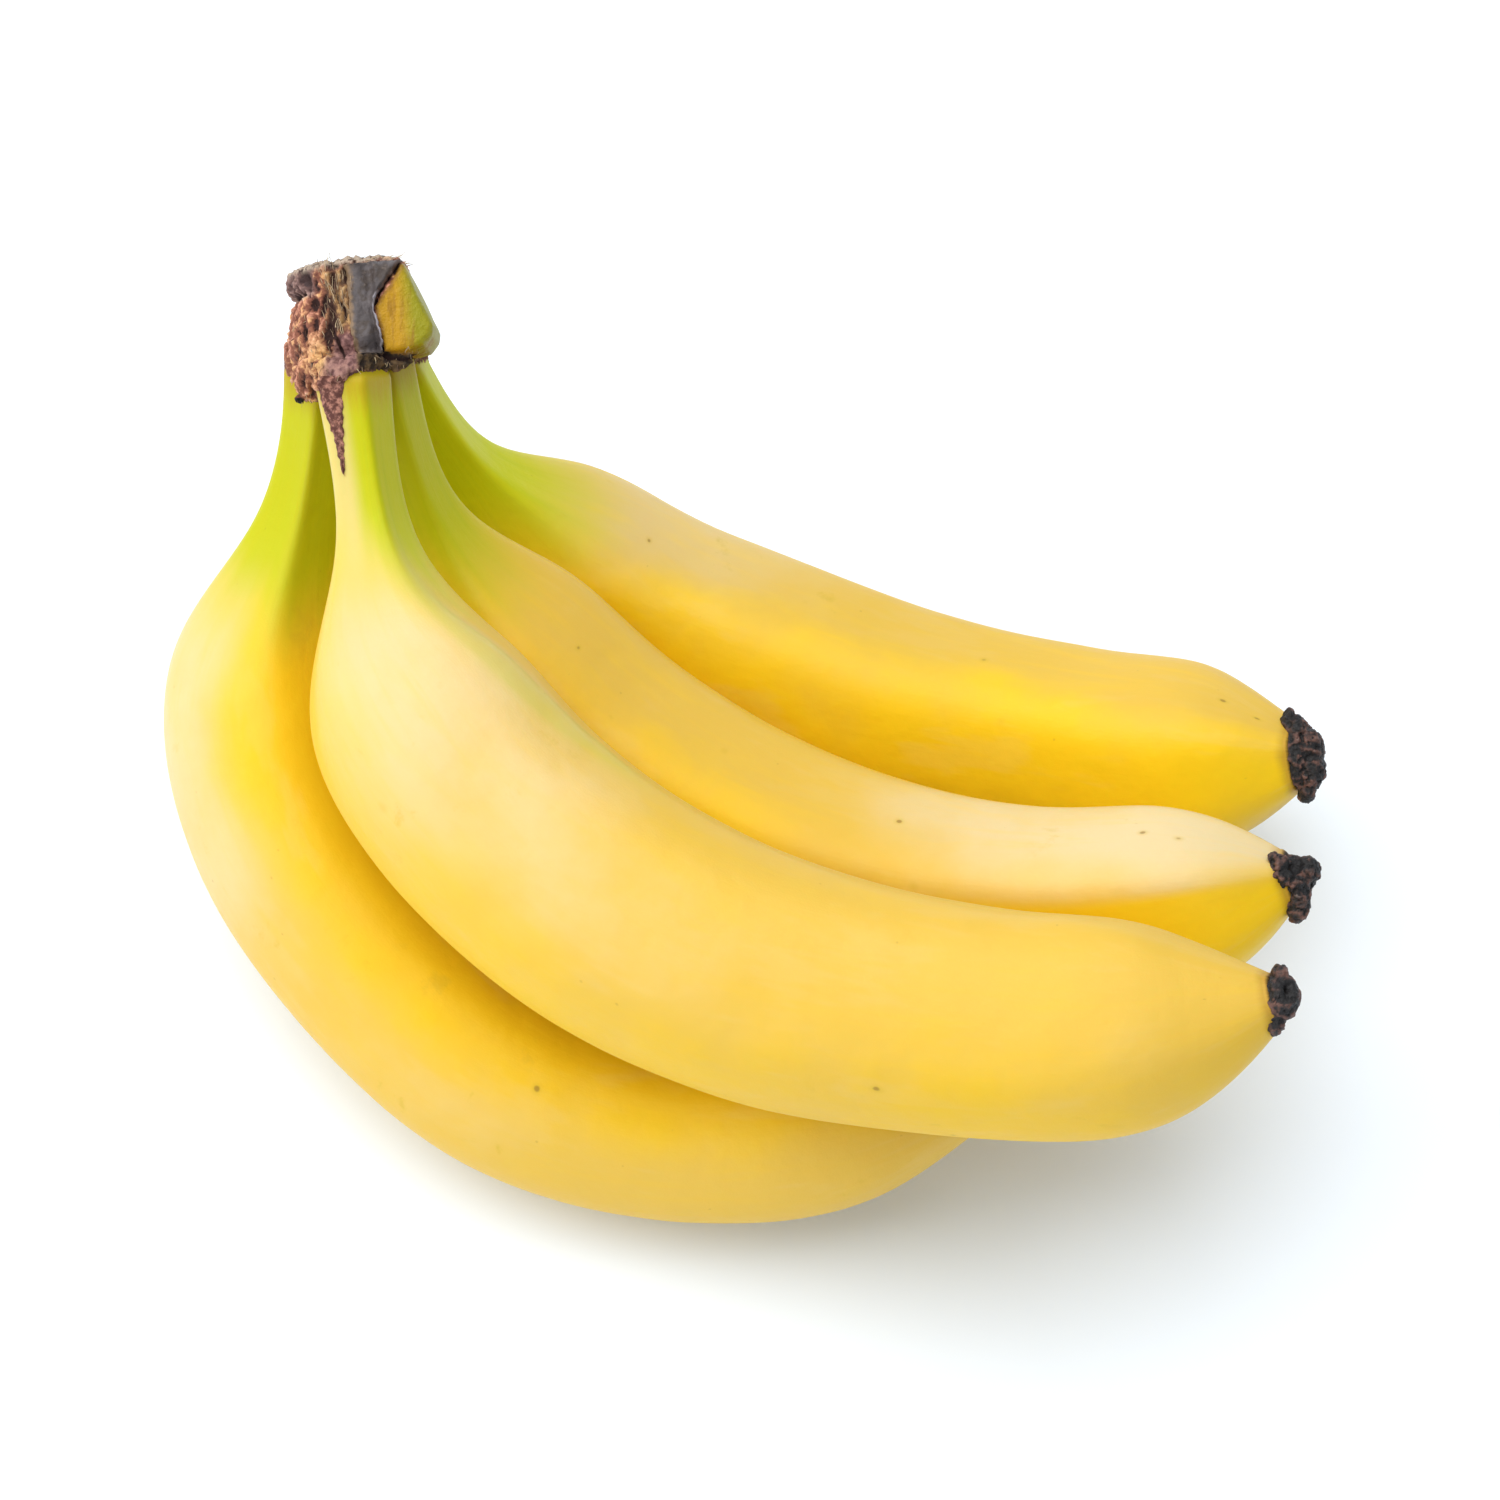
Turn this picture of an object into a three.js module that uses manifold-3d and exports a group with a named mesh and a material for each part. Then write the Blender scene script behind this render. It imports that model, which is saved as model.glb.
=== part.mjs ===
// A cut bunch of four bananas lying on a flat surface.
// Lengths are in millimetres. X runs from the crown towards the dried tips, Z is up, and the bunch rests on Z = 0.
import * as THREE from "three";
import Module from "manifold-3d";

const wasm = await Module();
wasm.setup();

const SIDES = 25; // corners round a fruit, five to each of its five faces
const STEPS = 44; // rings along a fruit
const TIP_SIDES = 20;
const CROWN_SIDES = 32;
const MEETING_GAP = 0.3; // clearance where two pieces meet
const TRIM_DEPTH = 20; // depth of the block that flattens what reaches the surface

// The point of the spines' own coordinates that the part has as its origin.
const ORIGIN = [-0.69, 11.42, 0.6];

// Share of the girth at even steps from the crown to the end of the dried tip.
// Between the neck steps, a fruit's own neck number makes its stem wider.
const GIRTH_SHARES = [
  0.31, 0.27, 0.255, 0.33, 0.61, 0.88, 0.965, 0.98, 0.99, 1, 1, 0.99, 0.975, 0.95, 0.915, 0.89, 0.87,
];
const NECK_STEPS = [2, 3];

// Each spine's control points lead from inside the crown to the end of the dried tip.
// The taper closes the list of girth shares. Roll turns the five faces round the spine, and twist turns them
// further from the stem to the belly, both in degrees. Ridges says how sharp the five ridges stay on the belly.
const FRUITS = {
  left: {
    spine: [
      [-65, 63, 80],
      [-68.4, 49, 59],
      [-76.8, 34, 39],
      [-72.6, 10, 28],
      [-55.4, -11, 21.5],
      [-37, -28.6, 17.5],
      [-12, -36.8, 16],
      [14, -38, 23],
      [39, -38, 34],
    ],
    girth: 18.6,
    neck: 1.15,
    roll: 8,
    twist: 0,
    ridges: 3.8,
    taper: [0.85, 0.73, 0.45, 0.14],
    tipLength: 5,
  },
  front: {
    spine: [
      [-60, 56, 89],
      [-57, 36, 75],
      [-52.6, 13, 67],
      [-37.2, -6.4, 60],
      [-17.4, -22, 58],
      [6, -32, 57],
      [30, -38, 60],
      [56, -42, 65],
      [77, -41, 76],
    ],
    girth: 19.6,
    neck: 1,
    roll: 0,
    twist: -15,
    ridges: 3.8,
    taper: [0.86, 0.76, 0.46, 0.1],
    tipLength: 4.2,
  },
  middle: {
    spine: [
      [-57, 63, 82],
      [-52, 47, 64],
      [-43, 36, 44],
      [-26, 22, 32],
      [-6, 8, 29],
      [16, -3, 31],
      [39, -10, 37],
      [61, -14, 46],
      [84, -12, 55],
    ],
    girth: 18,
    neck: 1,
    roll: 6,
    twist: 0,
    ridges: 5.5,
    taper: [0.87, 0.82, 0.58, 0.06],
    tipLength: 5,
  },
  back: {
    spine: [
      [-56, 70, 74],
      [-47, 61, 53],
      [-36, 59, 31],
      [-17, 51, 19],
      [4, 43, 17],
      [25, 34, 17],
      [47, 29, 20],
      [69, 20, 28],
      [89, 17, 37],
    ],
    girth: 17.8,
    neck: 1,
    roll: 8,
    twist: 5,
    ridges: 5,
    taper: [0.9, 0.86, 0.56, 0.16],
    tipLength: 5.2,
  },
};

// The fruit's cross-section: the directions of its five faces in degrees and how far out each one lies.
const FACE_ANGLES = [0, 69, 146, 213, 290];
const FACE_DISTANCES = [1, 0.98, 1.02, 0.97, 1.01];
// The section's mean half width is the first number less the second one divided by the ridges' sharpness.
const HALF_WIDTH = [1.145, 0.51];
const STEM_SHARPNESS = 16;
const STEM_SHARE = 0.12; // share of the length over which the stem keeps its sharp ridges
const ROUNDING_SHARE = 0.3; // share of the length by which they are fully rounded

// The crown's axis runs from the middle of its cut face down to the stems.
const CROWN_TOP = [-61.2, 74.8, 87.6];
const CROWN_DOWN = [0.126, -0.884, -0.45];
const CROWN_ACROSS = [0.992, 0.112, 0.057];
// Rings of the crown: distance down the axis, shift across, half width and half depth.
const CROWN_RINGS = [
  [0, 0, 8.2, 11],
  [0.8, 0, 8.9, 11.8],
  [3.4, 0, 8.9, 12],
  [5.3, -0.2, 9.2, 12.6],
  [7.6, 0.6, 10.4, 13.2],
  [10, 1.2, 11.3, 13.6],
  [12.4, 0.7, 11.2, 13.6],
  [14.4, -0.9, 9.8, 12.8],
  [16.4, -2.4, 8.5, 11.4],
  [18.4, -3.8, 7.1, 9.6],
  [20, -5.2, 5.4, 7.4],
];
const CROWN_DEEP = 2.6; // power of the crown's rounded-oblong section
const CROWN_SET_BACK = 1; // how far the crown's middle lies behind its axis

const PEEL_YELLOW = 0xf2c530;
const CROWN_BROWN = 0x5b4234;
const TIP_BLACK = 0x1f1b19;

/** Value of a uniform cubic B-spline that passes through the first and last of its control points. */
function splinePoint(points, share) {
  const last = points.length - 1;
  const mirrored = (end, next) => end.map((value, axis) => 2 * value - next[axis]);
  const padded = [mirrored(points[0], points[1]), ...points, mirrored(points[last], points[last - 1])];
  const place = Math.min(Math.max(share, 0), 1) * last;
  const first = Math.min(Math.floor(place), last - 1);
  const t = place - first;
  const weights = [
    (1 - t) ** 3 / 6,
    (3 * t ** 3 - 6 * t ** 2 + 4) / 6,
    (-3 * t ** 3 + 3 * t ** 2 + 3 * t + 1) / 6,
    t ** 3 / 6,
  ];
  return points[0].map((_, axis) => weights.reduce((sum, w, i) => sum + w * padded[first + i][axis], 0));
}

function spineAt(fruit, share) {
  const [x, y, z] = splinePoint(fruit.spine, share);
  return new THREE.Vector3(x - ORIGIN[0], y - ORIGIN[1], z - ORIGIN[2]);
}

function spineLength(fruit) {
  let length = 0;
  for (let i = 0; i < STEPS; i += 1) {
    length += spineAt(fruit, i / STEPS).distanceTo(spineAt(fruit, (i + 1) / STEPS));
  }
  return length;
}

/** Radius of the five-sided section in one direction, for a section with a mean half width of 1. */
function faceRadius(angle, sharpness) {
  let sum = 0;
  FACE_ANGLES.forEach((face, i) => {
    const reach = Math.cos(angle - THREE.MathUtils.degToRad(face)) / FACE_DISTANCES[i];
    sum += Math.max(reach, 0) ** sharpness;
  });
  return sum ** (-1 / sharpness) / (HALF_WIDTH[0] - HALF_WIDTH[1] / sharpness);
}

function sharpnessAt(fruit, share) {
  const blend = THREE.MathUtils.smoothstep(share, STEM_SHARE, ROUNDING_SHARE);
  return THREE.MathUtils.lerp(STEM_SHARPNESS, fruit.ridges, blend);
}

function radiusAt(fruit, share) {
  const shares = [...GIRTH_SHARES, ...fruit.taper].map((value) => [value]);
  NECK_STEPS.forEach((step) => {
    shares[step][0] *= fruit.neck;
  });
  return fruit.girth * splinePoint(shares, share)[0];
}

/** Points along the spine with two directions across it that turn as little as the bend allows. */
function spineFrames(fruit, from, to, count) {
  const frames = [];
  const delta = 1e-4;
  let side = null;
  let previous = null;
  const lead = Math.round((from * STEPS) / (to - from));
  for (let i = -lead; i <= count; i += 1) {
    const share = i < 0 ? from * (1 + i / lead) : from + ((to - from) * i) / count;
    const tangent = spineAt(fruit, share + delta).sub(spineAt(fruit, share - delta)).normalize();
    if (side === null) {
      side = new THREE.Vector3(tangent.y, -tangent.x, 0).normalize();
    } else {
      side.applyQuaternion(new THREE.Quaternion().setFromUnitVectors(previous, tangent));
    }
    previous = tangent;
    if (i >= 0) {
      frames.push({ share, centre: spineAt(fruit, share), side: side.clone(), over: tangent.clone().cross(side) });
    }
  }
  return frames;
}

function ringPoint(frame, angle, radius) {
  return frame.centre
    .clone()
    .addScaledVector(frame.side, radius * Math.cos(angle))
    .addScaledVector(frame.over, radius * Math.sin(angle));
}

/** A closed solid through rings of points, with a fan over the first and the last ring. */
function loft(rings) {
  const sides = rings[0].length;
  const middle = (ring) => ring.reduce((sum, p) => sum.add(p), new THREE.Vector3()).divideScalar(sides);
  const points = [...rings.flat(), middle(rings[0]), middle(rings.at(-1))];
  const faces = [];
  const startFan = points.length - 2;
  const endFan = points.length - 1;
  const lastRing = (rings.length - 1) * sides;
  for (let j = 0; j < sides; j += 1) {
    const k = (j + 1) % sides;
    for (let i = 0; i < lastRing; i += sides) {
      faces.push(i + j, i + k, i + sides + k, i + j, i + sides + k, i + sides + j);
    }
    faces.push(startFan, k, j, endFan, lastRing + j, lastRing + k);
  }
  const mesh = new wasm.Mesh({
    numProp: 3,
    vertProperties: new Float32Array(points.flatMap((p) => [p.x, p.y, p.z])),
    triVerts: new Uint32Array(faces),
  });
  return new wasm.Manifold(mesh);
}

/** One fruit without its dried tip, made larger all round by the given growth. */
function fruitSolid(fruit, growth = 0) {
  const end = 1 - fruit.tipLength / spineLength(fruit);
  const rings = spineFrames(fruit, 0, end, STEPS).map((frame) => {
    const radius = radiusAt(fruit, frame.share);
    const sharpness = sharpnessAt(fruit, frame.share);
    const turned = fruit.roll + fruit.twist * THREE.MathUtils.smoothstep(frame.share, STEM_SHARE, ROUNDING_SHARE);
    const roll = THREE.MathUtils.degToRad(turned);
    return Array.from({ length: SIDES }, (_, j) => {
      const angle = (2 * Math.PI * j) / SIDES;
      return ringPoint(frame, angle + roll, radius * faceRadius(angle, sharpness) + growth);
    });
  });
  return loft(rings);
}

/** The withered stub at the end of a fruit: a low, uneven knob. */
function tipSolid(fruit) {
  const length = spineLength(fruit);
  const from = 1 - (fruit.tipLength - MEETING_GAP) / length;
  const base = radiusAt(fruit, 1 - fruit.tipLength / length);
  const profile = [0.97, 1.04, 1.03, 0.95, 0.8, 0.55];
  const rings = spineFrames(fruit, from, 1, profile.length - 1).map((frame, i) =>
    Array.from({ length: TIP_SIDES }, (_, j) => {
      const angle = (2 * Math.PI * j) / TIP_SIDES;
      const withered = 1 + 0.05 * Math.sin(3 * angle + i) + 0.04 * Math.sin(5 * angle - 2 * i);
      return ringPoint(frame, angle, base * profile[i] * withered);
    }),
  );
  return loft(rings);
}

/** The corky cushion that the four stems grow from, before the stems' sockets are cut. */
function crownSolid() {
  const down = new THREE.Vector3(...CROWN_DOWN).normalize();
  const across = new THREE.Vector3(...CROWN_ACROSS).normalize();
  const deep = new THREE.Vector3().crossVectors(down, across).normalize();
  const top = new THREE.Vector3(...CROWN_TOP).sub(new THREE.Vector3(...ORIGIN));
  const rings = CROWN_RINGS.map(([distance, shift, halfWidth, halfDepth]) => {
    const centre = top.clone().addScaledVector(down, distance).addScaledVector(across, shift);
    return Array.from({ length: CROWN_SIDES }, (_, j) => {
      const angle = (2 * Math.PI * j) / CROWN_SIDES;
      const power = 2 / CROWN_DEEP;
      const x = Math.sign(Math.cos(angle)) * Math.abs(Math.cos(angle)) ** power;
      const y = Math.sign(Math.sin(angle)) * Math.abs(Math.sin(angle)) ** power;
      return centre
        .clone()
        .addScaledVector(across, halfWidth * x)
        .addScaledVector(deep, halfDepth * y - CROWN_SET_BACK);
    });
  });
  return loft(rings);
}

/** What lies below the surface, taken off so that the fruit rest on small flats. */
function belowSurface() {
  const reach = 400;
  const box = new THREE.BoxGeometry(reach, reach, TRIM_DEPTH).translate(0, 0, -TRIM_DEPTH / 2);
  box.deleteAttribute("normal");
  box.deleteAttribute("uv");
  return solidOf(mergeByPlace(box));
}

function mergeByPlace(geometry) {
  const places = new Map();
  const points = [];
  const index = Array.from(geometry.index.array, (i) => {
    const p = new THREE.Vector3().fromBufferAttribute(geometry.attributes.position, i);
    const key = `${p.x},${p.y},${p.z}`;
    if (!places.has(key)) {
      places.set(key, points.length / 3);
      points.push(p.x, p.y, p.z);
    }
    return places.get(key);
  });
  return { points, index };
}

function solidOf({ points, index }) {
  const mesh = new wasm.Mesh({
    numProp: 3,
    vertProperties: new Float32Array(points),
    triVerts: new Uint32Array(index),
  });
  return new wasm.Manifold(mesh);
}

function meshOf(name, solid, colour, roughness) {
  const { vertProperties, triVerts } = solid.getMesh();
  const geometry = new THREE.BufferGeometry();
  geometry.setAttribute("position", new THREE.BufferAttribute(Float32Array.from(vertProperties), 3));
  geometry.setIndex(new THREE.BufferAttribute(Uint32Array.from(triVerts), 1));
  geometry.computeVertexNormals();
  const material = new THREE.MeshStandardMaterial({ color: colour, roughness, metalness: 0 });
  const mesh = new THREE.Mesh(geometry, material);
  mesh.name = name;
  return mesh;
}

const surface = belowSurface();
const { left, front, middle, back } = FRUITS;

// Neighbours press against each other: each fruit gives way to those in front of it.
const fruitSolids = {
  front: fruitSolid(front),
  left: fruitSolid(left).subtract(fruitSolid(front, MEETING_GAP)),
  middle: fruitSolid(middle)
    .subtract(fruitSolid(front, MEETING_GAP))
    .subtract(fruitSolid(left, MEETING_GAP)),
  back: fruitSolid(back)
    .subtract(fruitSolid(middle, MEETING_GAP))
    .subtract(fruitSolid(left, MEETING_GAP))
    .subtract(fruitSolid(front, MEETING_GAP)),
};

const crown = Object.values(FRUITS).reduce(
  (solid, fruit) => solid.subtract(fruitSolid(fruit, MEETING_GAP)),
  crownSolid(),
);

const bunch = new THREE.Group();
bunch.name = "banana_bunch";
bunch.add(meshOf("crown", crown, CROWN_BROWN, 0.9));
for (const [place, solid] of Object.entries(fruitSolids)) {
  bunch.add(meshOf(`banana_${place}`, solid.subtract(surface), PEEL_YELLOW, 0.45));
  bunch.add(meshOf(`tip_${place}`, tipSolid(FRUITS[place]), TIP_BLACK, 0.85));
}

export default bunch;
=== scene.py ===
"""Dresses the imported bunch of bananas: fruit with living peel, a corky crown, dried tips, studio and camera.

Lengths named in millimetres are turned into metres where the meshes are made. The fruit follow the same
spines, girths and five-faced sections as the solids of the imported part.
"""

import logging
import math
from collections.abc import Callable
from dataclasses import dataclass, field
from enum import Enum

import bpy
import numpy as np
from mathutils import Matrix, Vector, noise
from mathutils.bvhtree import BVHTree


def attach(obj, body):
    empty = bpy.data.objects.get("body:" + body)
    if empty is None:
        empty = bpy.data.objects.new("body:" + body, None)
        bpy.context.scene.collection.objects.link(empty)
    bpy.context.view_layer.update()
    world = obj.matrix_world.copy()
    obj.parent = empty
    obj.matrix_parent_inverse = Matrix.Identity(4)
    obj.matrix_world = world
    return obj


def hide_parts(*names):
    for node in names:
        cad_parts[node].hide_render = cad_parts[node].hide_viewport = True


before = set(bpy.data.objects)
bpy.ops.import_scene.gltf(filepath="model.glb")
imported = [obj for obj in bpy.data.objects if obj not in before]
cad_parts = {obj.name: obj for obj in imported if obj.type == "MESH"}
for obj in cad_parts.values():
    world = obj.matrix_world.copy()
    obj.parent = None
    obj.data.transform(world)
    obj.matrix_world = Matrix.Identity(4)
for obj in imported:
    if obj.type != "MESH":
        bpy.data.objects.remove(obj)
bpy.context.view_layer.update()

LOG = logging.getLogger("bunch")

# The seed of the fibres' places, and of the shifts with which the pits wander.
SEED = 11

Socket = bpy.types.NodeSocket
Material = bpy.types.Material
Piece = bpy.types.Object
Colour = tuple[float, float, float]
Triple = tuple[float, float, float]
Outline = tuple[tuple[float, float], ...]
Mould = tuple[list[Vector], list[tuple[int, ...]]]

MM = 0.001
# The part's origin in the frame that the spines are given in.
ORIGIN_MM = Vector((-0.69, 11.42, 0.6))

# How far the photograph's view looks down, and its directions: right, up and towards the viewer.
VIEW_TILT = math.radians(63.0)
VIEW_AXES = (
    Vector((1.0, 0.0, 0.0)),
    Vector((0.0, math.sin(VIEW_TILT), math.cos(VIEW_TILT))),
    Vector((0.0, -math.cos(VIEW_TILT), math.sin(VIEW_TILT))),
)

# A stem keeps its sharp ridges up to the first share of the spine and is a rounded body from the second on.
STEM_SHARE = 0.12
ROUNDING_SHARE = 0.3
STEM_SHARPNESS = 10.0

# The section's five faces: their directions in degrees and their distances from the spine.
FACE_ANGLES = (0.0, 69.0, 146.0, 213.0, 290.0)
FACE_DISTANCES = (1.0, 0.98, 1.02, 0.97, 1.01)

# The section's mean half width is the first number less the second one over the sharpness.
HALF_WIDTH = (1.145, 0.51)

# The thickness at even steps of the spine. Each fruit adds its own last steps, and its neck widens two.
GIRTH_SHARES = (
    0.31, 0.27, 0.255, 0.33, 0.61, 0.88, 0.965, 0.98, 0.99, 1, 1, 0.99, 0.975, 0.95, 0.915, 0.89, 0.87,
)
NECK_STEPS = (2, 3)

# The creased noise: its dimension, lacunarity, octaves, offset and gain, and the middle of its values.
FOLDS = (0.9, 2.1, 4, 1.0, 2.0)
FOLDS_MIDDLE = 1.17

# A Mix node has sockets for every kind of data, and these are the ones for colours.
MIX_COLOUR_INPUTS = (6, 7)
MIX_COLOUR_OUTPUT = 2


class Slot(Enum):
    """The record's material slots."""

    PEEL = "peel"
    CROWN = "crown"
    TIP = "tip"


def in_part(place: Vector) -> Vector:
    """A place of the spines' frame, in millimetres, as a point of the part's frame in metres."""
    return (place - ORIGIN_MM) * MM


def blend_step(value: float, low: float, high: float) -> float:
    """Smooth step from 0 at low to 1 at high.

    Args:
        value: The place to look at.
        low: Where the step starts.
        high: Where the step ends.

    Returns:
        A number from 0 to 1.
    """
    t = min(max((value - low) / (high - low), 0.0), 1.0)
    return t * t * (3 - 2 * t)


def spline_point(points: list[Vector], share: float) -> Vector:
    """Point of a uniform cubic B-spline that passes through its first and last control points.

    Args:
        points: The control points.
        share: The place along the spline, from 0 to 1.

    Returns:
        The point there.
    """
    last = len(points) - 1
    padded = [2 * points[0] - points[1], *points, 2 * points[last] - points[last - 1]]
    place = min(max(share, 0.0), 1.0) * last
    first = min(int(place), last - 1)
    t = place - first
    weights = (
        (1 - t) ** 3 / 6,
        (3 * t**3 - 6 * t**2 + 4) / 6,
        (-3 * t**3 + 3 * t**2 + 3 * t + 1) / 6,
        t**3 / 6,
    )
    total = Vector((0.0,) * len(points[0]))
    for weight, point in zip(weights, padded[first : first + 4]):
        total += weight * point
    return total


class Calc:
    """A number inside a node tree, on which Python's arithmetic adds Math nodes."""

    def __init__(self, sheet: "NodeSheet", socket: Socket) -> None:
        """Keeps the tree's helper and the socket that gives the number."""
        self.sheet = sheet
        self.socket = socket

    def __add__(self, other: "Calc | float") -> "Calc":
        """Sum."""
        return self.sheet.math("ADD", self, other)

    def __sub__(self, other: "Calc | float") -> "Calc":
        """Difference."""
        return self.sheet.math("SUBTRACT", self, other)

    def __rsub__(self, other: float) -> "Calc":
        """A plain number less this one."""
        return self.sheet.math("SUBTRACT", other, self)

    def __mul__(self, other: "Calc | float") -> "Calc":
        """Product."""
        return self.sheet.math("MULTIPLY", self, other)

    def __truediv__(self, other: "Calc | float") -> "Calc":
        """Quotient."""
        return self.sheet.math("DIVIDE", self, other)

    def __pow__(self, other: "Calc | float") -> "Calc":
        """Power."""
        return self.sheet.math("POWER", self, other)

    __radd__ = __add__
    __rmul__ = __mul__

    def cos(self) -> "Calc":
        """Cosine."""
        return self.sheet.math("COSINE", self)

    def sin(self) -> "Calc":
        """Sine."""
        return self.sheet.math("SINE", self)

    def at_least(self, other: "Calc | float") -> "Calc":
        """The larger of two numbers."""
        return self.sheet.math("MAXIMUM", self, other)

    def at_most(self, other: "Calc | float") -> "Calc":
        """The smaller of two numbers."""
        return self.sheet.math("MINIMUM", self, other)

    def step(self, low: float, high: float, start: float = 0.0, end: float = 1.0) -> "Calc":
        """Smooth step.

        Args:
            low: Input where the step starts.
            high: Input where the step ends.
            start: Output below the step.
            end: Output above the step.

        Returns:
            The stepped number.
        """
        inputs = {"Value": self, "From Min": low, "From Max": high, "To Min": start, "To Max": end}
        node = self.sheet.wired("ShaderNodeMapRange", inputs, interpolation_type="SMOOTHSTEP")
        return Calc(self.sheet, node.outputs["Result"])


class NodeSheet:
    """Adds nodes to one tree and joins them. It serves geometry and materials alike."""

    def __init__(self, tree: bpy.types.NodeTree) -> None:
        """Keeps the tree."""
        self.tree = tree

    def node(self, kind: str, **settings: object) -> bpy.types.Node:
        """Adds a node.

        Args:
            kind: The node's type name.
            **settings: Properties to set on it.

        Returns:
            The new node.
        """
        node = self.tree.nodes.new(kind)
        for name, value in settings.items():
            setattr(node, name, value)
        return node

    def wired(self, kind: str, inputs: dict[str, object], **settings: object) -> bpy.types.Node:
        """Adds a node and feeds its named inputs.

        Args:
            kind: The node's type name.
            inputs: What each named input gets.
            **settings: Properties to set on the node.

        Returns:
            The new node.
        """
        node = self.node(kind, **settings)
        for name, value in inputs.items():
            self.feed(node.inputs[name], value)
        return node

    def filled(self, kind: str, *values: object, **settings: object) -> bpy.types.Node:
        """Adds a node and feeds its first inputs.

        Args:
            kind: The node's type name.
            *values: What the inputs get, in their order.
            **settings: Properties to set on the node.

        Returns:
            The new node.
        """
        node = self.node(kind, **settings)
        for socket, value in zip(node.inputs, values):
            self.feed(socket, value)
        return node

    def feed(self, socket: Socket, value: object) -> None:
        """Joins a value to an input, or writes it there if it is a plain one.

        Args:
            socket: The input.
            value: A number of the tree, another socket, or a plain number, vector or colour.
        """
        if isinstance(value, Calc):
            self.tree.links.new(value.socket, socket)
        elif isinstance(value, Socket):
            self.tree.links.new(value, socket)
        else:
            socket.default_value = value

    def math(self, operation: str, *values: "Calc | float") -> Calc:
        """Adds a Math node over one to three values and gives its result."""
        return Calc(self, self.filled("ShaderNodeMath", *values, operation=operation).outputs[0])

    def vector_math(self, operation: str, *values: object) -> Socket:
        """Adds a Vector Math node over sockets or plain vectors and gives its vector result."""
        return self.filled("ShaderNodeVectorMath", *values, operation=operation).outputs["Vector"]

    def scaled(self, vector: object, factor: "Calc | float") -> Socket:
        """A vector times a number."""
        inputs = {"Vector": vector, "Scale": factor}
        return self.wired("ShaderNodeVectorMath", inputs, operation="SCALE").outputs["Vector"]

    def vector(self, x: "Calc | float", y: "Calc | float", z: "Calc | float") -> Socket:
        """A vector from three numbers."""
        return self.filled("ShaderNodeCombineXYZ", x, y, z).outputs[0]

    def parts(self, vector: object) -> tuple[Calc, Calc, Calc]:
        """The three numbers of a vector."""
        x, y, z = (Calc(self, socket) for socket in self.filled("ShaderNodeSeparateXYZ", vector).outputs)
        return x, y, z

    def noise(
        self, place: object, size: float, detail: float = 3.0, rough: float = 0.5, twist: float = 0.0
    ) -> Calc:
        """Cloudy noise from 0 to 1.

        Args:
            place: The vector that the noise is read at, in metres.
            size: The size of its features, in metres.
            detail: How many finer layers it has.
            rough: How strong those are.
            twist: How far it is distorted.

        Returns:
            The noise.
        """
        shape = {"Scale": 1 / size, "Detail": detail, "Roughness": rough, "Distortion": twist}
        return Calc(self, self.wired("ShaderNodeTexNoise", {"Vector": place} | shape).outputs[0])

    def cells(self, place: object, size: float) -> tuple[Calc, Calc]:
        """Scattered cells.

        Args:
            place: The vector that the cells are read at, in metres.
            size: The size of a cell, in metres.

        Returns:
            The distance from the cell's middle in cell sizes, and a random number for each cell.
        """
        node = self.wired("ShaderNodeTexVoronoi", {"Vector": place, "Scale": 1 / size})
        chance, _, _ = self.parts(node.outputs["Color"])
        return Calc(self, node.outputs["Distance"]), chance


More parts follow.
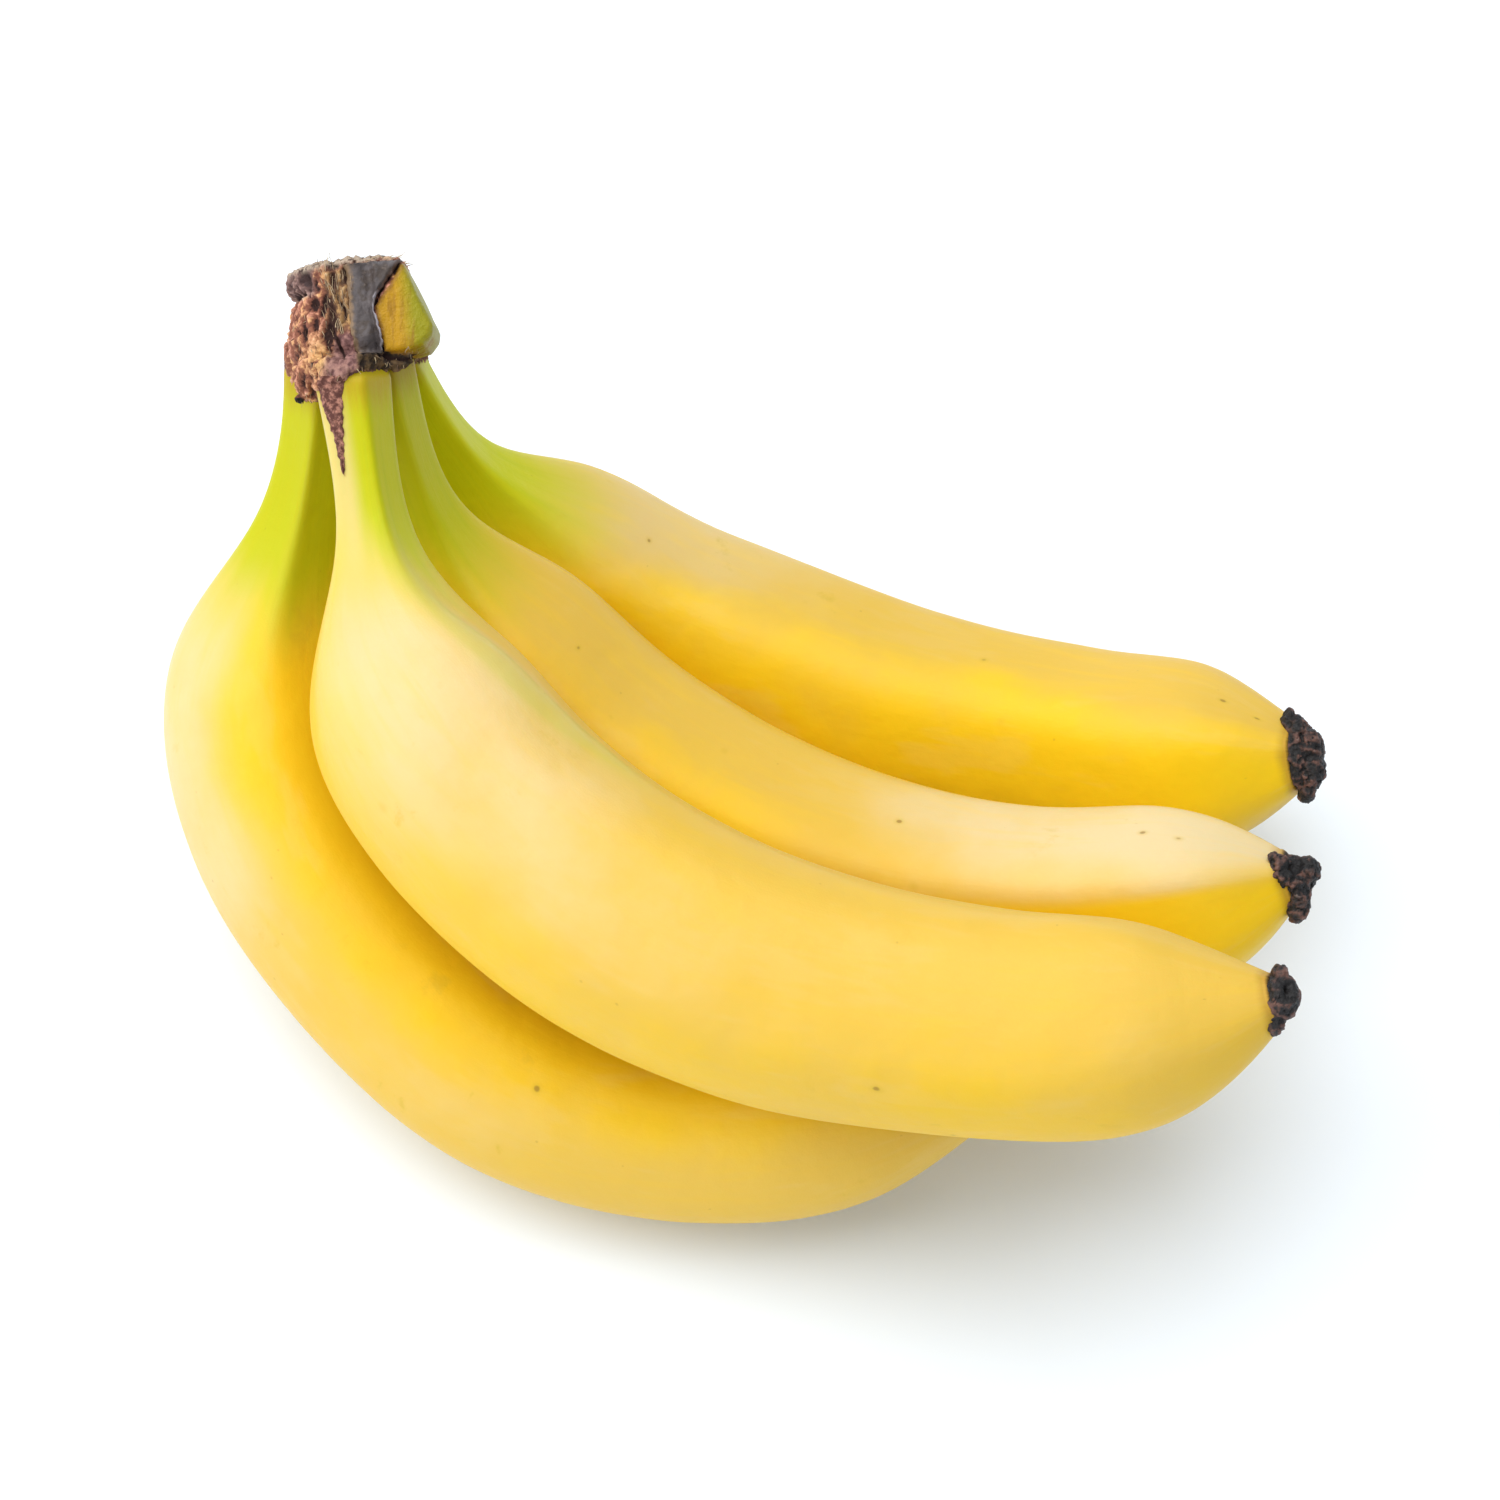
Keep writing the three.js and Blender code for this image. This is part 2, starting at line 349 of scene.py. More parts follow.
class GeometrySheet(NodeSheet):
    """A geometry tree with named inputs that makes one piece."""

    def __init__(self, name: str) -> None:
        """Starts the tree with its geometry input and output.

        Args:
            name: The tree's name.
        """
        super().__init__(bpy.data.node_groups.new(name, "GeometryNodeTree"))
        self.tree.is_modifier = True
        for way in ("INPUT", "OUTPUT"):
            self.tree.interface.new_socket("Geometry", in_out=way, socket_type="NodeSocketGeometry")
        self.entry = self.node("NodeGroupInput")
        self.exit = self.node("NodeGroupOutput")

    def input(self, name: str, kind: str, default: object = None) -> Socket:
        """Adds a named input.

        Args:
            name: The input's name.
            kind: Float, Int or Material.
            default: Its value where the modifier gives none.

        Returns:
            The socket inside the tree.
        """
        socket = self.tree.interface.new_socket(name, in_out="INPUT", socket_type=f"NodeSocket{kind}")
        if default is not None:
            socket.default_value = default
        return self.entry.outputs[name]

    def number(self, name: str, default: float) -> Calc:
        """Adds a named number input."""
        return Calc(self, self.input(name, "Float", default))

    def named(self, name: str, kind: str) -> Socket:
        """A named attribute of the points."""
        node = self.wired("GeometryNodeInputNamedAttribute", {"Name": name}, data_type=kind)
        return node.outputs["Attribute"]

    def sample(self, name: str, kind: str, index: Calc) -> Socket:
        """Reads a named attribute of the guide's points.

        Args:
            name: The attribute's name.
            kind: FLOAT or FLOAT_VECTOR.
            index: The point's number.

        Returns:
            The value there.
        """
        inputs = {"Geometry": self.entry.outputs["Geometry"], "Value": self.named(name, kind), "Index": index}
        picked = self.wired("GeometryNodeSampleIndex", inputs, data_type=kind, domain="POINT")
        return picked.outputs["Value"]

    def store(self, geometry: Socket, name: str, kind: str, value: object) -> Socket:
        """Keeps a value on the points under a name that the material reads.

        Args:
            geometry: The geometry so far.
            name: The attribute's name.
            kind: FLOAT or FLOAT_VECTOR.
            value: What is kept.

        Returns:
            The geometry with the attribute.
        """
        inputs = {"Geometry": geometry, "Name": name, "Value": value}
        node = self.wired("GeometryNodeStoreNamedAttribute", inputs, data_type=kind, domain="POINT")
        return node.outputs["Geometry"]

    def capsule(self, segments: Socket, rings: Socket) -> tuple[object, Calc, Calc]:
        """A closed ball of rings whose points know their ring and their angle.

        Args:
            segments: How many points a ring has.
            rings: How many steps lead from pole to pole.

        Returns:
            The ball's geometry, each point's ring number and each point's angle.
        """
        ball = self.wired("GeometryNodeMeshUVSphere", {"Segments": segments, "Rings": rings})
        x, y, z = self.parts(self.node("GeometryNodeInputPosition").outputs[0])
        polar = self.math("ARCCOSINE", z.at_most(1.0).at_least(-1.0)) / math.pi
        ring = self.math("ROUND", polar * Calc(self, rings))
        angle = self.math("ARCTAN2", y, x)
        return ball.outputs["Mesh"], ring, angle

    def place(self, geometry: object, position: object) -> Socket:
        """Moves the points to new positions."""
        node = self.wired("GeometryNodeSetPosition", {"Geometry": geometry, "Position": position})
        return node.outputs["Geometry"]

    def flipped(self, geometry: object) -> Socket:
        """Turns the faces to their other side."""
        return self.filled("GeometryNodeFlipFaces", geometry).outputs[0]

    def close(self, geometry: object, material: Socket) -> None:
        """Shades the faces smooth, realizes the result and gives it its material.

        Args:
            geometry: The finished geometry.
            material: What it is made of.
        """
        smooth = self.wired("GeometryNodeSetShadeSmooth", {"Geometry": geometry})
        whole = self.wired("GeometryNodeRealizeInstances", {"Geometry": smooth.outputs[0]})
        dressed = self.wired("GeometryNodeSetMaterial", {"Geometry": whole.outputs[0], "Material": material})
        self.feed(self.exit.inputs["Geometry"], dressed.outputs[0])


@dataclass(frozen=True)
class RingFrame:
    """One ring of the peel: its centre, two directions across it as long as its radius, and its shape."""

    centre: Vector
    side: Vector
    over: Vector
    share: float
    sharpness: float
    crest_turn: float
    crest_rise: float


@dataclass(frozen=True)
class Spine:
    """A fruit's centre line in millimetres, from inside the crown to the end of the dried tip."""

    points: tuple[Triple, ...]

    def at(self, share: float) -> Vector:
        """The point at a share of the line, in metres in the part's frame."""
        return in_part(spline_point([Vector(p) for p in self.points], share))

    def tangent(self, share: float) -> Vector:
        """The direction of the line at a share of it."""
        delta = 1e-4
        return (self.at(share + delta) - self.at(share - delta)).normalized()

    def length(self) -> float:
        """The line's length in metres."""
        steps = 44
        return sum((self.at((i + 1) / steps) - self.at(i / steps)).length for i in range(steps))

    def sides(self, shares: list[float]) -> list[tuple[Vector, Vector]]:
        """Two unit directions across the line that turn as little as its bend allows.

        Args:
            shares: Rising places along the line.

        Returns:
            The pair of directions at each place.
        """
        dense = 240
        found = []
        previous = self.tangent(0.0)
        side = Vector((previous.y, -previous.x, 0.0)).normalized()
        walked = 0
        for share in shares:
            while walked + 1 < share * dense:
                walked += 1
                tangent = self.tangent(walked / dense)
                side = previous.rotation_difference(tangent) @ side
                previous = tangent
            tangent = self.tangent(share)
            here = previous.rotation_difference(tangent) @ side
            found.append((here, tangent.cross(here)))
        return found


@dataclass
class Guide:
    """Points with named vectors and numbers that a geometry tree works from."""

    points: list[Vector]
    vectors: dict[str, list[Vector]]
    numbers: dict[str, list[float]]

    def mesh(self, name: str) -> bpy.types.Mesh:
        """The guide as a mesh of loose points.

        Args:
            name: The mesh's name.

        Returns:
            The mesh, with the vectors and numbers as attributes.
        """
        mesh = bpy.data.meshes.new(name)
        mesh.from_pydata(self.points, [], [])
        for key, values in self.vectors.items():
            for item, value in zip(mesh.attributes.new(key, "FLOAT_VECTOR", "POINT").data, values):
                item.vector = value
        for key, values in self.numbers.items():
            for item, value in zip(mesh.attributes.new(key, "FLOAT", "POINT").data, values):
                item.value = value
        return mesh


def linked(name: str, data: bpy.types.ID) -> Piece:
    """Puts a mesh, light or camera into the scene.

    Args:
        name: The object's name.
        data: What it shows.

    Returns:
        The new object.
    """
    thing = bpy.data.objects.new(name, data)
    bpy.context.scene.collection.objects.link(thing)
    return thing


def plain_piece(name: str, source: Piece) -> Piece:
    """Replaces an object with live modifiers by the plain mesh that they make.

    Args:
        name: The piece's name.
        source: The object with the modifiers.

    Returns:
        The piece.
    """
    depsgraph = bpy.context.evaluated_depsgraph_get()
    plain = bpy.data.meshes.new_from_object(source.evaluated_get(depsgraph), depsgraph=depsgraph)
    mesh = source.data
    bpy.data.objects.remove(source)
    bpy.data.meshes.remove(mesh)
    return linked(name, plain)


def evaluated_piece(name: str, guide: Guide, sheet: GeometrySheet, inputs: dict[str, object]) -> Piece:
    """Runs a geometry tree over a guide and returns the result as a plain mesh.

    Args:
        name: The piece's name.
        guide: The points that the tree works from.
        sheet: The tree.
        inputs: The values of the tree's named inputs.

    Returns:
        The piece, in the part's frame.
    """
    source = linked(f"{name}_guide", guide.mesh(name))
    modifier = source.modifiers.new("rule", "NODES")
    modifier.node_group = sheet.tree
    sockets = sheet.tree.interface.items_tree
    identifiers = {item.name: item.identifier for item in sockets if item.in_out == "INPUT"}
    for key, value in inputs.items():
        modifier[identifiers[key]] = value
    return plain_piece(name, source)


def hand_over(piece: Piece, slot: Slot, *nodes: str) -> None:
    """Fixes a piece to the frame and hides the CAD nodes that it stands for.

    Args:
        piece: The finished piece.
        slot: Not used.
        *nodes: The CAD nodes that it replaces.
    """
    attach(piece, "root")
    if nodes:
        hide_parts(*nodes)
    LOG.info("%s: %d faces", piece.name, len(piece.data.polygons))


class MaterialSheet(NodeSheet):
    """A material's tree around one Principled BSDF."""

    def __init__(self, name: str) -> None:
        """Starts a material with its shader and output.

        Args:
            name: The material's name.
        """
        self.material = bpy.data.materials.new(name)
        self.material.use_nodes = True
        super().__init__(self.material.node_tree)
        self.tree.nodes.clear()
        self.shader = self.node("ShaderNodeBsdfPrincipled")
        self.wired("ShaderNodeOutputMaterial", {"Surface": self.shader.outputs[0]})

    def attribute(self, name: str) -> Calc:
        """A number kept on the mesh."""
        node = self.node("ShaderNodeAttribute", attribute_name=name)
        return Calc(self, node.outputs["Fac"])

    def attribute_vector(self, name: str) -> Socket:
        """A vector kept on the mesh."""
        return self.node("ShaderNodeAttribute", attribute_name=name).outputs["Vector"]

    def object_place(self) -> Socket:
        """The object coordinates."""
        return self.node("ShaderNodeTexCoord").outputs["Object"]

    def mix(self, share: "Calc | float", low: object, high: object) -> Socket:
        """Blends two colours.

        Args:
            share: How much of the second one shows.
            low: The first colour.
            high: The second colour.

        Returns:
            The blended colour.
        """
        node = self.filled("ShaderNodeMix", share, data_type="RGBA")
        for index, colour in zip(MIX_COLOUR_INPUTS, (low, high)):
            self.feed(node.inputs[index], (*colour, 1.0) if isinstance(colour, tuple) else colour)
        return node.outputs[MIX_COLOUR_OUTPUT]

    def bump(self, height: Calc, depth: float, before: Socket | None = None) -> Socket:
        """Adds fine relief.

        Args:
            height: The height from 0 to 1.
            depth: Its depth in metres.
            before: The normal of an earlier relief.

        Returns:
            The new normal.
        """
        inputs = {"Strength": 1.0, "Distance": depth, "Height": height}
        if before is not None:
            inputs["Normal"] = before
        return self.wired("ShaderNodeBump", inputs).outputs[0]

    def finish(self, colour: object, roughness: object, normal: object, **constants: float) -> Material:
        """Joins colour, roughness and relief to the shader.

        Args:
            colour: The base colour.
            roughness: The roughness.
            normal: The bumped normal.
            **constants: Values for other sockets, by name with underscores for spaces.

        Returns:
            The material.
        """
        self.feed(self.shader.inputs["Base Color"], colour)
        self.feed(self.shader.inputs["Roughness"], roughness)
        self.feed(self.shader.inputs["Normal"], normal)
        for name, value in constants.items():
            self.shader.inputs[name.replace("_", " ")].default_value = value
        return self.material


@dataclass(frozen=True)
class Grade:
    """A colour that goes from a dark to a light one while a height rises from a low to a high value."""

    dark: Colour
    light: Colour
    low: float = -0.5
    high: float = 0.5

    def at(self, sheet: MaterialSheet, height: Calc) -> Socket:
        """The colour at a height."""
        return sheet.mix(height.step(self.low, self.high), self.dark, self.light)


@dataclass(frozen=True)
class PeelMarks:
    """What the peel's finish reads at a point: its place, its grain and the patterns that colours share."""

    sheet: MaterialSheet
    place: Socket
    grain: Socket
    stretched: Socket
    along: Calc
    turn: Calc
    streaks: Calc
    clouds: Calc
    blotches: Calc


@dataclass(frozen=True)
class PeelFinish:
    """Ripe banana peel: yellow belly, green stem, darker ridges, freckles and a singed edge at the tip.

    Turns are degrees round the fruit: 0 is its outer side, 180 its inner side and 270 faces the viewer.
    Sizes and depths are in metres.
    """

    # The turn that the painted highlight faces.
    highlight_turn: float
    # The turn that the painted golden shade faces.
    shade_turn: float
    green_until: float
    green_fades: float
    green_turn: float = 230.0
    # How far the green goes round the stem; where it stops, the stem's lit side gets a painted cream
    # highlight.
    green_all_round: float = 1.0
    # Where along the fruit the painted highlight shows, and how strong it is.
    highlight_from: float = -0.2
    highlight_until: float = 0.43
    highlight_weight: float = 1.0
    # How strong the painted golden shade is.
    shade_weight: float = 0.9
    amber_until: float = 0.045
    # Below the ridge at this turn, from this share towards the tip, the peel gets painted golden shade and no
    # painted highlight.
    ridge_turn: float = 265.0
    ridge_from: float = 2.0
    singe_from: float = -0.0006
    singe_length: float = 0.0004
    browned_length: float = 0.0021
    grain_stretch: Triple = (1.0, 1.0, 0.08)
    mottle_stretch: Triple = (1.0, 1.0, 0.28)
    streak_size: float = 0.0022
    cloud_size: float = 0.036
    blotch_size: float = 0.011
    mottle_size: float = 0.0075
    wander_size: float = 0.006
    fringe_size: float = 0.0012
    freckle_gap: float = 0.0105
    speck_gap: float = 0.0036
    bruise_size: float = 0.007
    bruise_gap: float = 0.03
    pore_size: float = 0.00045
    line_size: float = 0.0014
    dent_depth: float = 0.0007
    line_depth: float = 0.00004
    pore_depth: float = 0.00003
    yellow: Colour = (0.71, 0.45, 0.062)
    # The colour of the peel's pale mottling, and of the painted highlight.
    pale: Colour = (0.73, 0.562, 0.29)
    # The colour of the peel's golden streaks and mottling, and of the painted shade.
    golden: Colour = (0.80, 0.49, 0.002)
    turning: Colour = (0.62, 0.49, 0.02)
    green: Colour = (0.48, 0.47, 0.002)
    green_deep: Colour = (0.41, 0.44, 0.001)
    # The painted highlight on the stem's lit side.
    stem_highlight_cream: Colour = (0.68, 0.53, 0.18)
    crest_tint: Colour = (0.52, 0.49, 0.05)
    bruise: Colour = (0.55, 0.36, 0.015)
    freckle: Colour = (0.22, 0.10, 0.02)
    browned: Colour = (0.42, 0.22, 0.025)
    amber: Colour = (0.42, 0.27, 0.008)
    singed: Colour = (0.035, 0.02, 0.012)

    def material(self, name: str) -> Material:
        """Makes the peel for one fruit.

        Args:
            name: The material's name.

        Returns:
            The material.
        """
        sheet = MaterialSheet(name)
        place = sheet.object_place()
        grain = sheet.attribute_vector("grain")
        stretched = sheet.vector_math("MULTIPLY", grain, self.grain_stretch)
        marks = PeelMarks(
            sheet,
            place,
            grain,
            stretched,
            along=sheet.attribute("along"),
            turn=sheet.attribute("turn"),
            streaks=sheet.noise(stretched, self.streak_size, 4.0, 0.6),
            clouds=sheet.noise(place, self.cloud_size, 2.0, 0.5),
            blotches=sheet.noise(place, self.blotch_size, 3.0, 0.6),
        )
        colour = self.ground(marks)
        colour = self.stem(marks, colour)
        crest = sheet.attribute("crest") * marks.along.step(0.36, 0.55, 1.0, 0.0)
        colour = sheet.mix((crest * crest * 0.6).at_most(0.42), colour, self.crest_tint)
        colour = self.spots(marks, colour)
        colour, singe = self.ends(marks, colour)
        pores = sheet.noise(place, self.pore_size, 3.0, 0.6)
        lines = sheet.noise(stretched, self.line_size, 3.0, 0.6)
        relief = sheet.bump(marks.blotches * 0.6 + marks.clouds * 0.4, self.dent_depth)
        relief = sheet.bump(lines, self.line_depth, relief)
        relief = sheet.bump(pores, self.pore_depth, relief)
        return sheet.finish(
            colour,
            0.40 + marks.streaks * 0.08 + pores * 0.06 + singe * 0.35,
            relief,
            Subsurface_Weight=0.1,
            Subsurface_Scale=0.003,
            Specular_IOR_Level=0.16,
            Coat_Weight=0.04,
            Coat_Roughness=0.35,
        )

    def lobe(self, turn: Calc, towards: float) -> Calc:
        """How much a place round the fruit faces a direction, from 0 to 1."""
        return (turn - math.radians(towards)).cos().at_least(0.0)

    def ground(self, marks: PeelMarks) -> Socket:
        """The ripe yellow, with a painted highlight on one side and painted golden shade on the other.

        Args:
            marks: What is read at each point.

        Returns:
            The colour.
        """
        sheet, along, turn = marks.sheet, marks.along, marks.turn
        clouds = marks.clouds - 0.5
        blotches = marks.blotches - 0.5
        shoulder = along.step(self.highlight_from - 0.15, self.highlight_from + 0.15, 0.1, 1.0)
        shoulder = shoulder * along.step(self.highlight_until - 0.2, self.highlight_until + 0.2, 1.0, 0.25)
        # Painted highlight where the peel faces the light, broken up by random clouds and blotches.
        pale = (self.lobe(turn, self.highlight_turn) * shoulder + clouds * 0.9 + blotches * 0.4).step(0.3, 1.05)
        # Painted golden shade where the peel faces away from the light, with random clouds and blotches.
        golden = self.lobe(turn, self.shade_turn) * self.shade_weight + clouds * -0.7 + blotches * 0.5
        golden = golden.step(0.3, 1.0)
        # Near the tip, painted shade on the side below the ridge, and no painted highlight there.
        under = (turn - math.radians(self.ridge_turn)).sin().step(-0.06, 0.1)
        sharp = along.step(self.ridge_from, self.ridge_from + 0.12) * along.step(0.9, 0.99, 1.0, 0.0) * 0.8
        golden = golden * (1 - sharp) + under * sharp
        pale = pale * (1 - sharp * under)
        colour = sheet.mix(pale * self.highlight_weight, self.yellow, self.pale)
        colour = sheet.mix(golden * 0.9, colour, self.golden)
        return sheet.mix(marks.streaks.step(0.5, 0.75) * 0.12, colour, self.golden)

    def stem(self, marks: PeelMarks, colour: Socket) -> Socket:
        """Adds the stem's green towards the crown, and cream on its lit side as a painted highlight.

        Args:
            marks: What is read at each point.
            colour: The colour so far.

        Returns:
            The colour with the green.
        """
        sheet = marks.sheet
        wander = (sheet.noise(marks.stretched, self.wander_size, 2.0, 0.5) - 0.5) * 0.05
        side = self.lobe(marks.turn, self.green_turn)
        ripening = (marks.along + wander - self.green_until - side * 0.03) / self.green_fades
        lime = sheet.mix(marks.streaks.step(0.4, 0.7) * 0.5, self.green, self.green_deep)
        # Painted highlight: cream on the stem's side turned away from the green.
        lime = sheet.mix(side.step(0.05, 0.6, 1.0, 0.0) * (1 - self.green_all_round), lime, self.stem_highlight_cream)
        colour = sheet.mix(ripening.step(0.0, 1.1, 1.0, 0.0) * 0.5, colour, self.turning)
        return sheet.mix(ripening.step(-1.0, 0.5, 1.0, 0.0), colour, lime)

    def spots(self, marks: PeelMarks, colour: Socket) -> Socket:
        """Adds mottling, faint bruises, freckles and specks.

        Args:
            marks: What is read at each point.
            colour: The colour so far.

        Returns:
            The colour with the spots.
        """
        sheet, blotches = marks.sheet, marks.blotches
        body = marks.along.step(0.14, 0.28)
        shift = sheet.scaled(sheet.vector(blotches, blotches, blotches), 0.002)
        bent = sheet.vector_math("ADD", marks.grain, shift)
        distance, chance = sheet.cells(bent, self.freckle_gap)
        freckles = distance.step(0.025, 0.06, 1.0, 0.0) * chance.step(0.74, 0.76) * body
        halo = distance.step(0.02, 0.13, 1.0, 0.0) * chance.step(0.66, 0.68) * body
        distance, chance = sheet.cells(bent, self.speck_gap)
        specks = distance.step(0.03, 0.09, 1.0, 0.0) * chance.step(0.84, 0.86)
        bruised = sheet.noise(marks.place, self.bruise_size, 4.0, 0.65, 0.4).step(0.6, 0.74)
        bruised = bruised * sheet.noise(marks.place, self.bruise_gap, 1.0).step(0.46, 0.6)
        drawn = sheet.vector_math("MULTIPLY", marks.grain, self.mottle_stretch)
        mottle = sheet.noise(drawn, self.mottle_size, 3.0, 0.6, 0.3)
        colour = sheet.mix(mottle.step(0.52, 0.72) * 0.16 * body, colour, self.golden)
        colour = sheet.mix(mottle.step(0.46, 0.34) * 0.08 * body, colour, self.pale)
        colour = sheet.mix(bruised * 0.4, colour, self.bruise)
        colour = sheet.mix(halo * 0.35, colour, self.bruise)
        colour = sheet.mix(specks * 0.22, colour, self.freckle)
        return sheet.mix(freckles * 0.6, colour, self.freckle)

    def ends(self, marks: PeelMarks, colour: Socket) -> tuple[Socket, Calc]:
        """Adds the amber root of the stem and the browned and singed edge at the dried tip.

        Args:
            marks: What is read at each point.
            colour: The colour so far.

        Returns:
            The colour with both ends, and how far each point is singed.
        """
        sheet = marks.sheet
        fringe = sheet.noise(marks.stretched, self.fringe_size, 4.0, 0.7) - 0.5
        from_cap = sheet.attribute("to_tip") - self.singe_from + fringe * 0.0005
        browned = (from_cap + (marks.blotches - 0.5) * 0.002).step(0.0, self.browned_length, 1.0, 0.0)
        singe = from_cap.step(-0.0002, self.singe_length, 1.0, 0.0)
        root = marks.along + (marks.streaks - 0.5) * 0.03
        amber = root.step(self.amber_until - 0.035, self.amber_until, 0.75, 0.0)
        colour = sheet.mix(amber, colour, self.amber)
        colour = sheet.mix(browned * 0.85, colour, self.browned)
        return sheet.mix(singe, colour, self.singed), singe


@dataclass(frozen=True)
class CorkFinish:
    """Dry corky crown: orange-brown torn cork with zones of other colours, and skin still yellow-green."""

    crumb_size: float = 0.0011
    grain_size: float = 0.0005
    crumb_depth: float = 0.00035
    grain_depth: float = 0.0001
    streak_stretch: Triple = (1.0, 0.15, 0.3)
    cork: Colour = (0.22, 0.075, 0.045)
    # Painted shade in the cork's hollows, grooves and pits.
    cork_hollow_shade: Colour = (0.030, 0.010, 0.008)
    cork_ruddy: Colour = (0.56, 0.24, 0.16)
    cork_light: Colour = (0.72, 0.37, 0.16)
    # Painted highlight on the cork's crests.
    cork_crest_highlight: Colour = (0.85, 0.62, 0.40)
    lobe: Grade = Grade((0.34, 0.12, 0.06), (0.86, 0.52, 0.20), -0.5, 0.3)
    fibrous: Grade = Grade((0.10, 0.045, 0.025), (0.40, 0.23, 0.09), -0.5, 0.4)
    fibre_tops: Colour = (0.55, 0.38, 0.20)
    mauve: Grade = Grade((0.085, 0.035, 0.038), (0.30, 0.155, 0.15))
    knob: Grade = Grade((0.07, 0.045, 0.045), (0.26, 0.19, 0.18), -0.4, 0.6)
    back: Grade = Grade((0.07, 0.04, 0.025), (0.24, 0.15, 0.09))
    lip: Grade = Grade((0.016, 0.011, 0.007), (0.105, 0.066, 0.028), -0.3, 0.5)
    cut_face: Colour = (0.24, 0.17, 0.12)
    rim: Grade = Grade((0.05, 0.03, 0.025), (0.36, 0.28, 0.22), -0.4, 0.5)
    rim_crumbs: Colour = (0.52, 0.41, 0.31)
    # Painted shade below the cork's lower hem.
    hem_shade: Colour = (0.008, 0.005, 0.004)
    skin: Colour = (0.53, 0.275, 0.003)
    skin_green: Colour = (0.30, 0.27, 0.003)
    skin_streaks: Colour = (0.27, 0.12, 0.008)
    skin_edge: Colour = (0.20, 0.08, 0.012)

    def material(self, name: str) -> Material:
        """Makes the crown's finish.

        Args:
            name: The material's name.

        Returns:
            The material.
        """
        sheet = MaterialSheet(name)
        place = sheet.object_place()
        crumbs = sheet.noise(place, self.crumb_size, 4.0, 0.65)
        fine = sheet.noise(place, self.grain_size, 3.0, 0.6)
        edge = sheet.attribute("patch") + (fine - 0.5) * 0.5
        on_skin = edge.step(0.0, 0.2)
        cork = self.torn_cork(sheet, place, crumbs, fine)
        colour = sheet.mix(on_skin, cork, self.living_skin(sheet, place, edge))
        relief = sheet.bump(crumbs, self.crumb_depth)
        relief = sheet.bump(fine, self.grain_depth, relief)
        return sheet.finish(colour, 0.85 - on_skin * 0.4, relief, Specular_IOR_Level=0.35)

    def torn_cork(self, sheet: MaterialSheet, place: Socket, crumbs: Calc, fine: Calc) -> Socket:
        """The cork's colours by zone, with painted shade in its hollows and painted highlights on its crests.

        Args:
            sheet: The material's tree.
            place: The point's place.
            crumbs: The coarse pattern.
            fine: The fine pattern.

        Returns:
            The colour.
        """
        height = sheet.attribute("relief") + (crumbs - 0.5) * 1.8 + (fine - 0.5) * 0.8
        patches = sheet.noise(place, 0.004, 2.0, 0.5, 0.5).step(0.42, 0.6)
        # Painted shade where the relief is low.
        cork = sheet.mix(height.step(-0.65, -0.15), self.cork_hollow_shade, self.cork)
        cork = sheet.mix(height.step(-0.1, 0.4), cork, sheet.mix(patches, self.cork_ruddy, self.cork_light))
        # Painted highlight where the relief is high.
        cork = sheet.mix(height.step(0.35, 0.8) * 0.75, cork, self.cork_crest_highlight)
        lobe = sheet.attribute("lobe") * height.step(-0.7, -0.2) * 0.8
        cork = sheet.mix(lobe, cork, self.lobe.at(sheet, height + (crumbs - 0.5)))
        fibrous = sheet.mix(height.step(0.3, 0.8), self.fibrous.at(sheet, height), self.fibre_tops)
        cork = sheet.mix(sheet.attribute("golden") * 0.9, cork, fibrous)
        zones = (
            (sheet.attribute("mauve") * 0.85, self.mauve),
            (sheet.attribute("knob") * 0.75, self.knob),
            ((1.0 - sheet.attribute("front")) * 0.6, self.back),
            ((sheet.attribute("lip") * 1.6).at_most(0.95), self.lip),
        )
        for share, grade in zones:
            cork = sheet.mix(share, cork, grade.at(sheet, height))
        cork = sheet.mix(sheet.attribute("top_face") * 0.8, cork, self.cut_face)
        # Painted shade in the pores, grooves, cracks, clefts and the notch.
        hollow = sheet.attribute("hollow") + (fine - 0.5) * 0.4
        cork = sheet.mix(hollow.step(0.7, 1.2), cork, self.cork_hollow_shade)
        rim = sheet.attribute("rim")
        cork = sheet.mix(rim * 0.8, cork, self.rim.at(sheet, height))
        cork = sheet.mix(rim * crumbs.step(0.4, 0.52) * 0.85, cork, self.rim_crumbs)
        # Painted shade below the cork's lower hem and on the small crumb there.
        return sheet.mix(sheet.attribute("hem_shade"), cork, self.hem_shade)

    def living_skin(self, sheet: MaterialSheet, place: Socket, edge: Calc) -> Socket:
        """The skin of the block at the crown's right, greener to the right and browner at its edge.

        Args:
            sheet: The material's tree.
            place: The point's place.
            edge: The distance into the skin from its edge, in millimetres.

        Returns:
            The colour.
        """
        streaks = sheet.noise(sheet.vector_math("MULTIPLY", place, self.streak_stretch), 0.0012, 3.0, 0.6)
        living = sheet.mix(sheet.attribute("rightward").step(0.25, 0.8), self.skin, self.skin_green)
        living = sheet.mix(streaks.step(0.5, 0.68) * 0.55, living, self.skin_streaks)
        return sheet.mix(edge.step(0.9, 0.2) * 0.7, living, self.skin_edge)


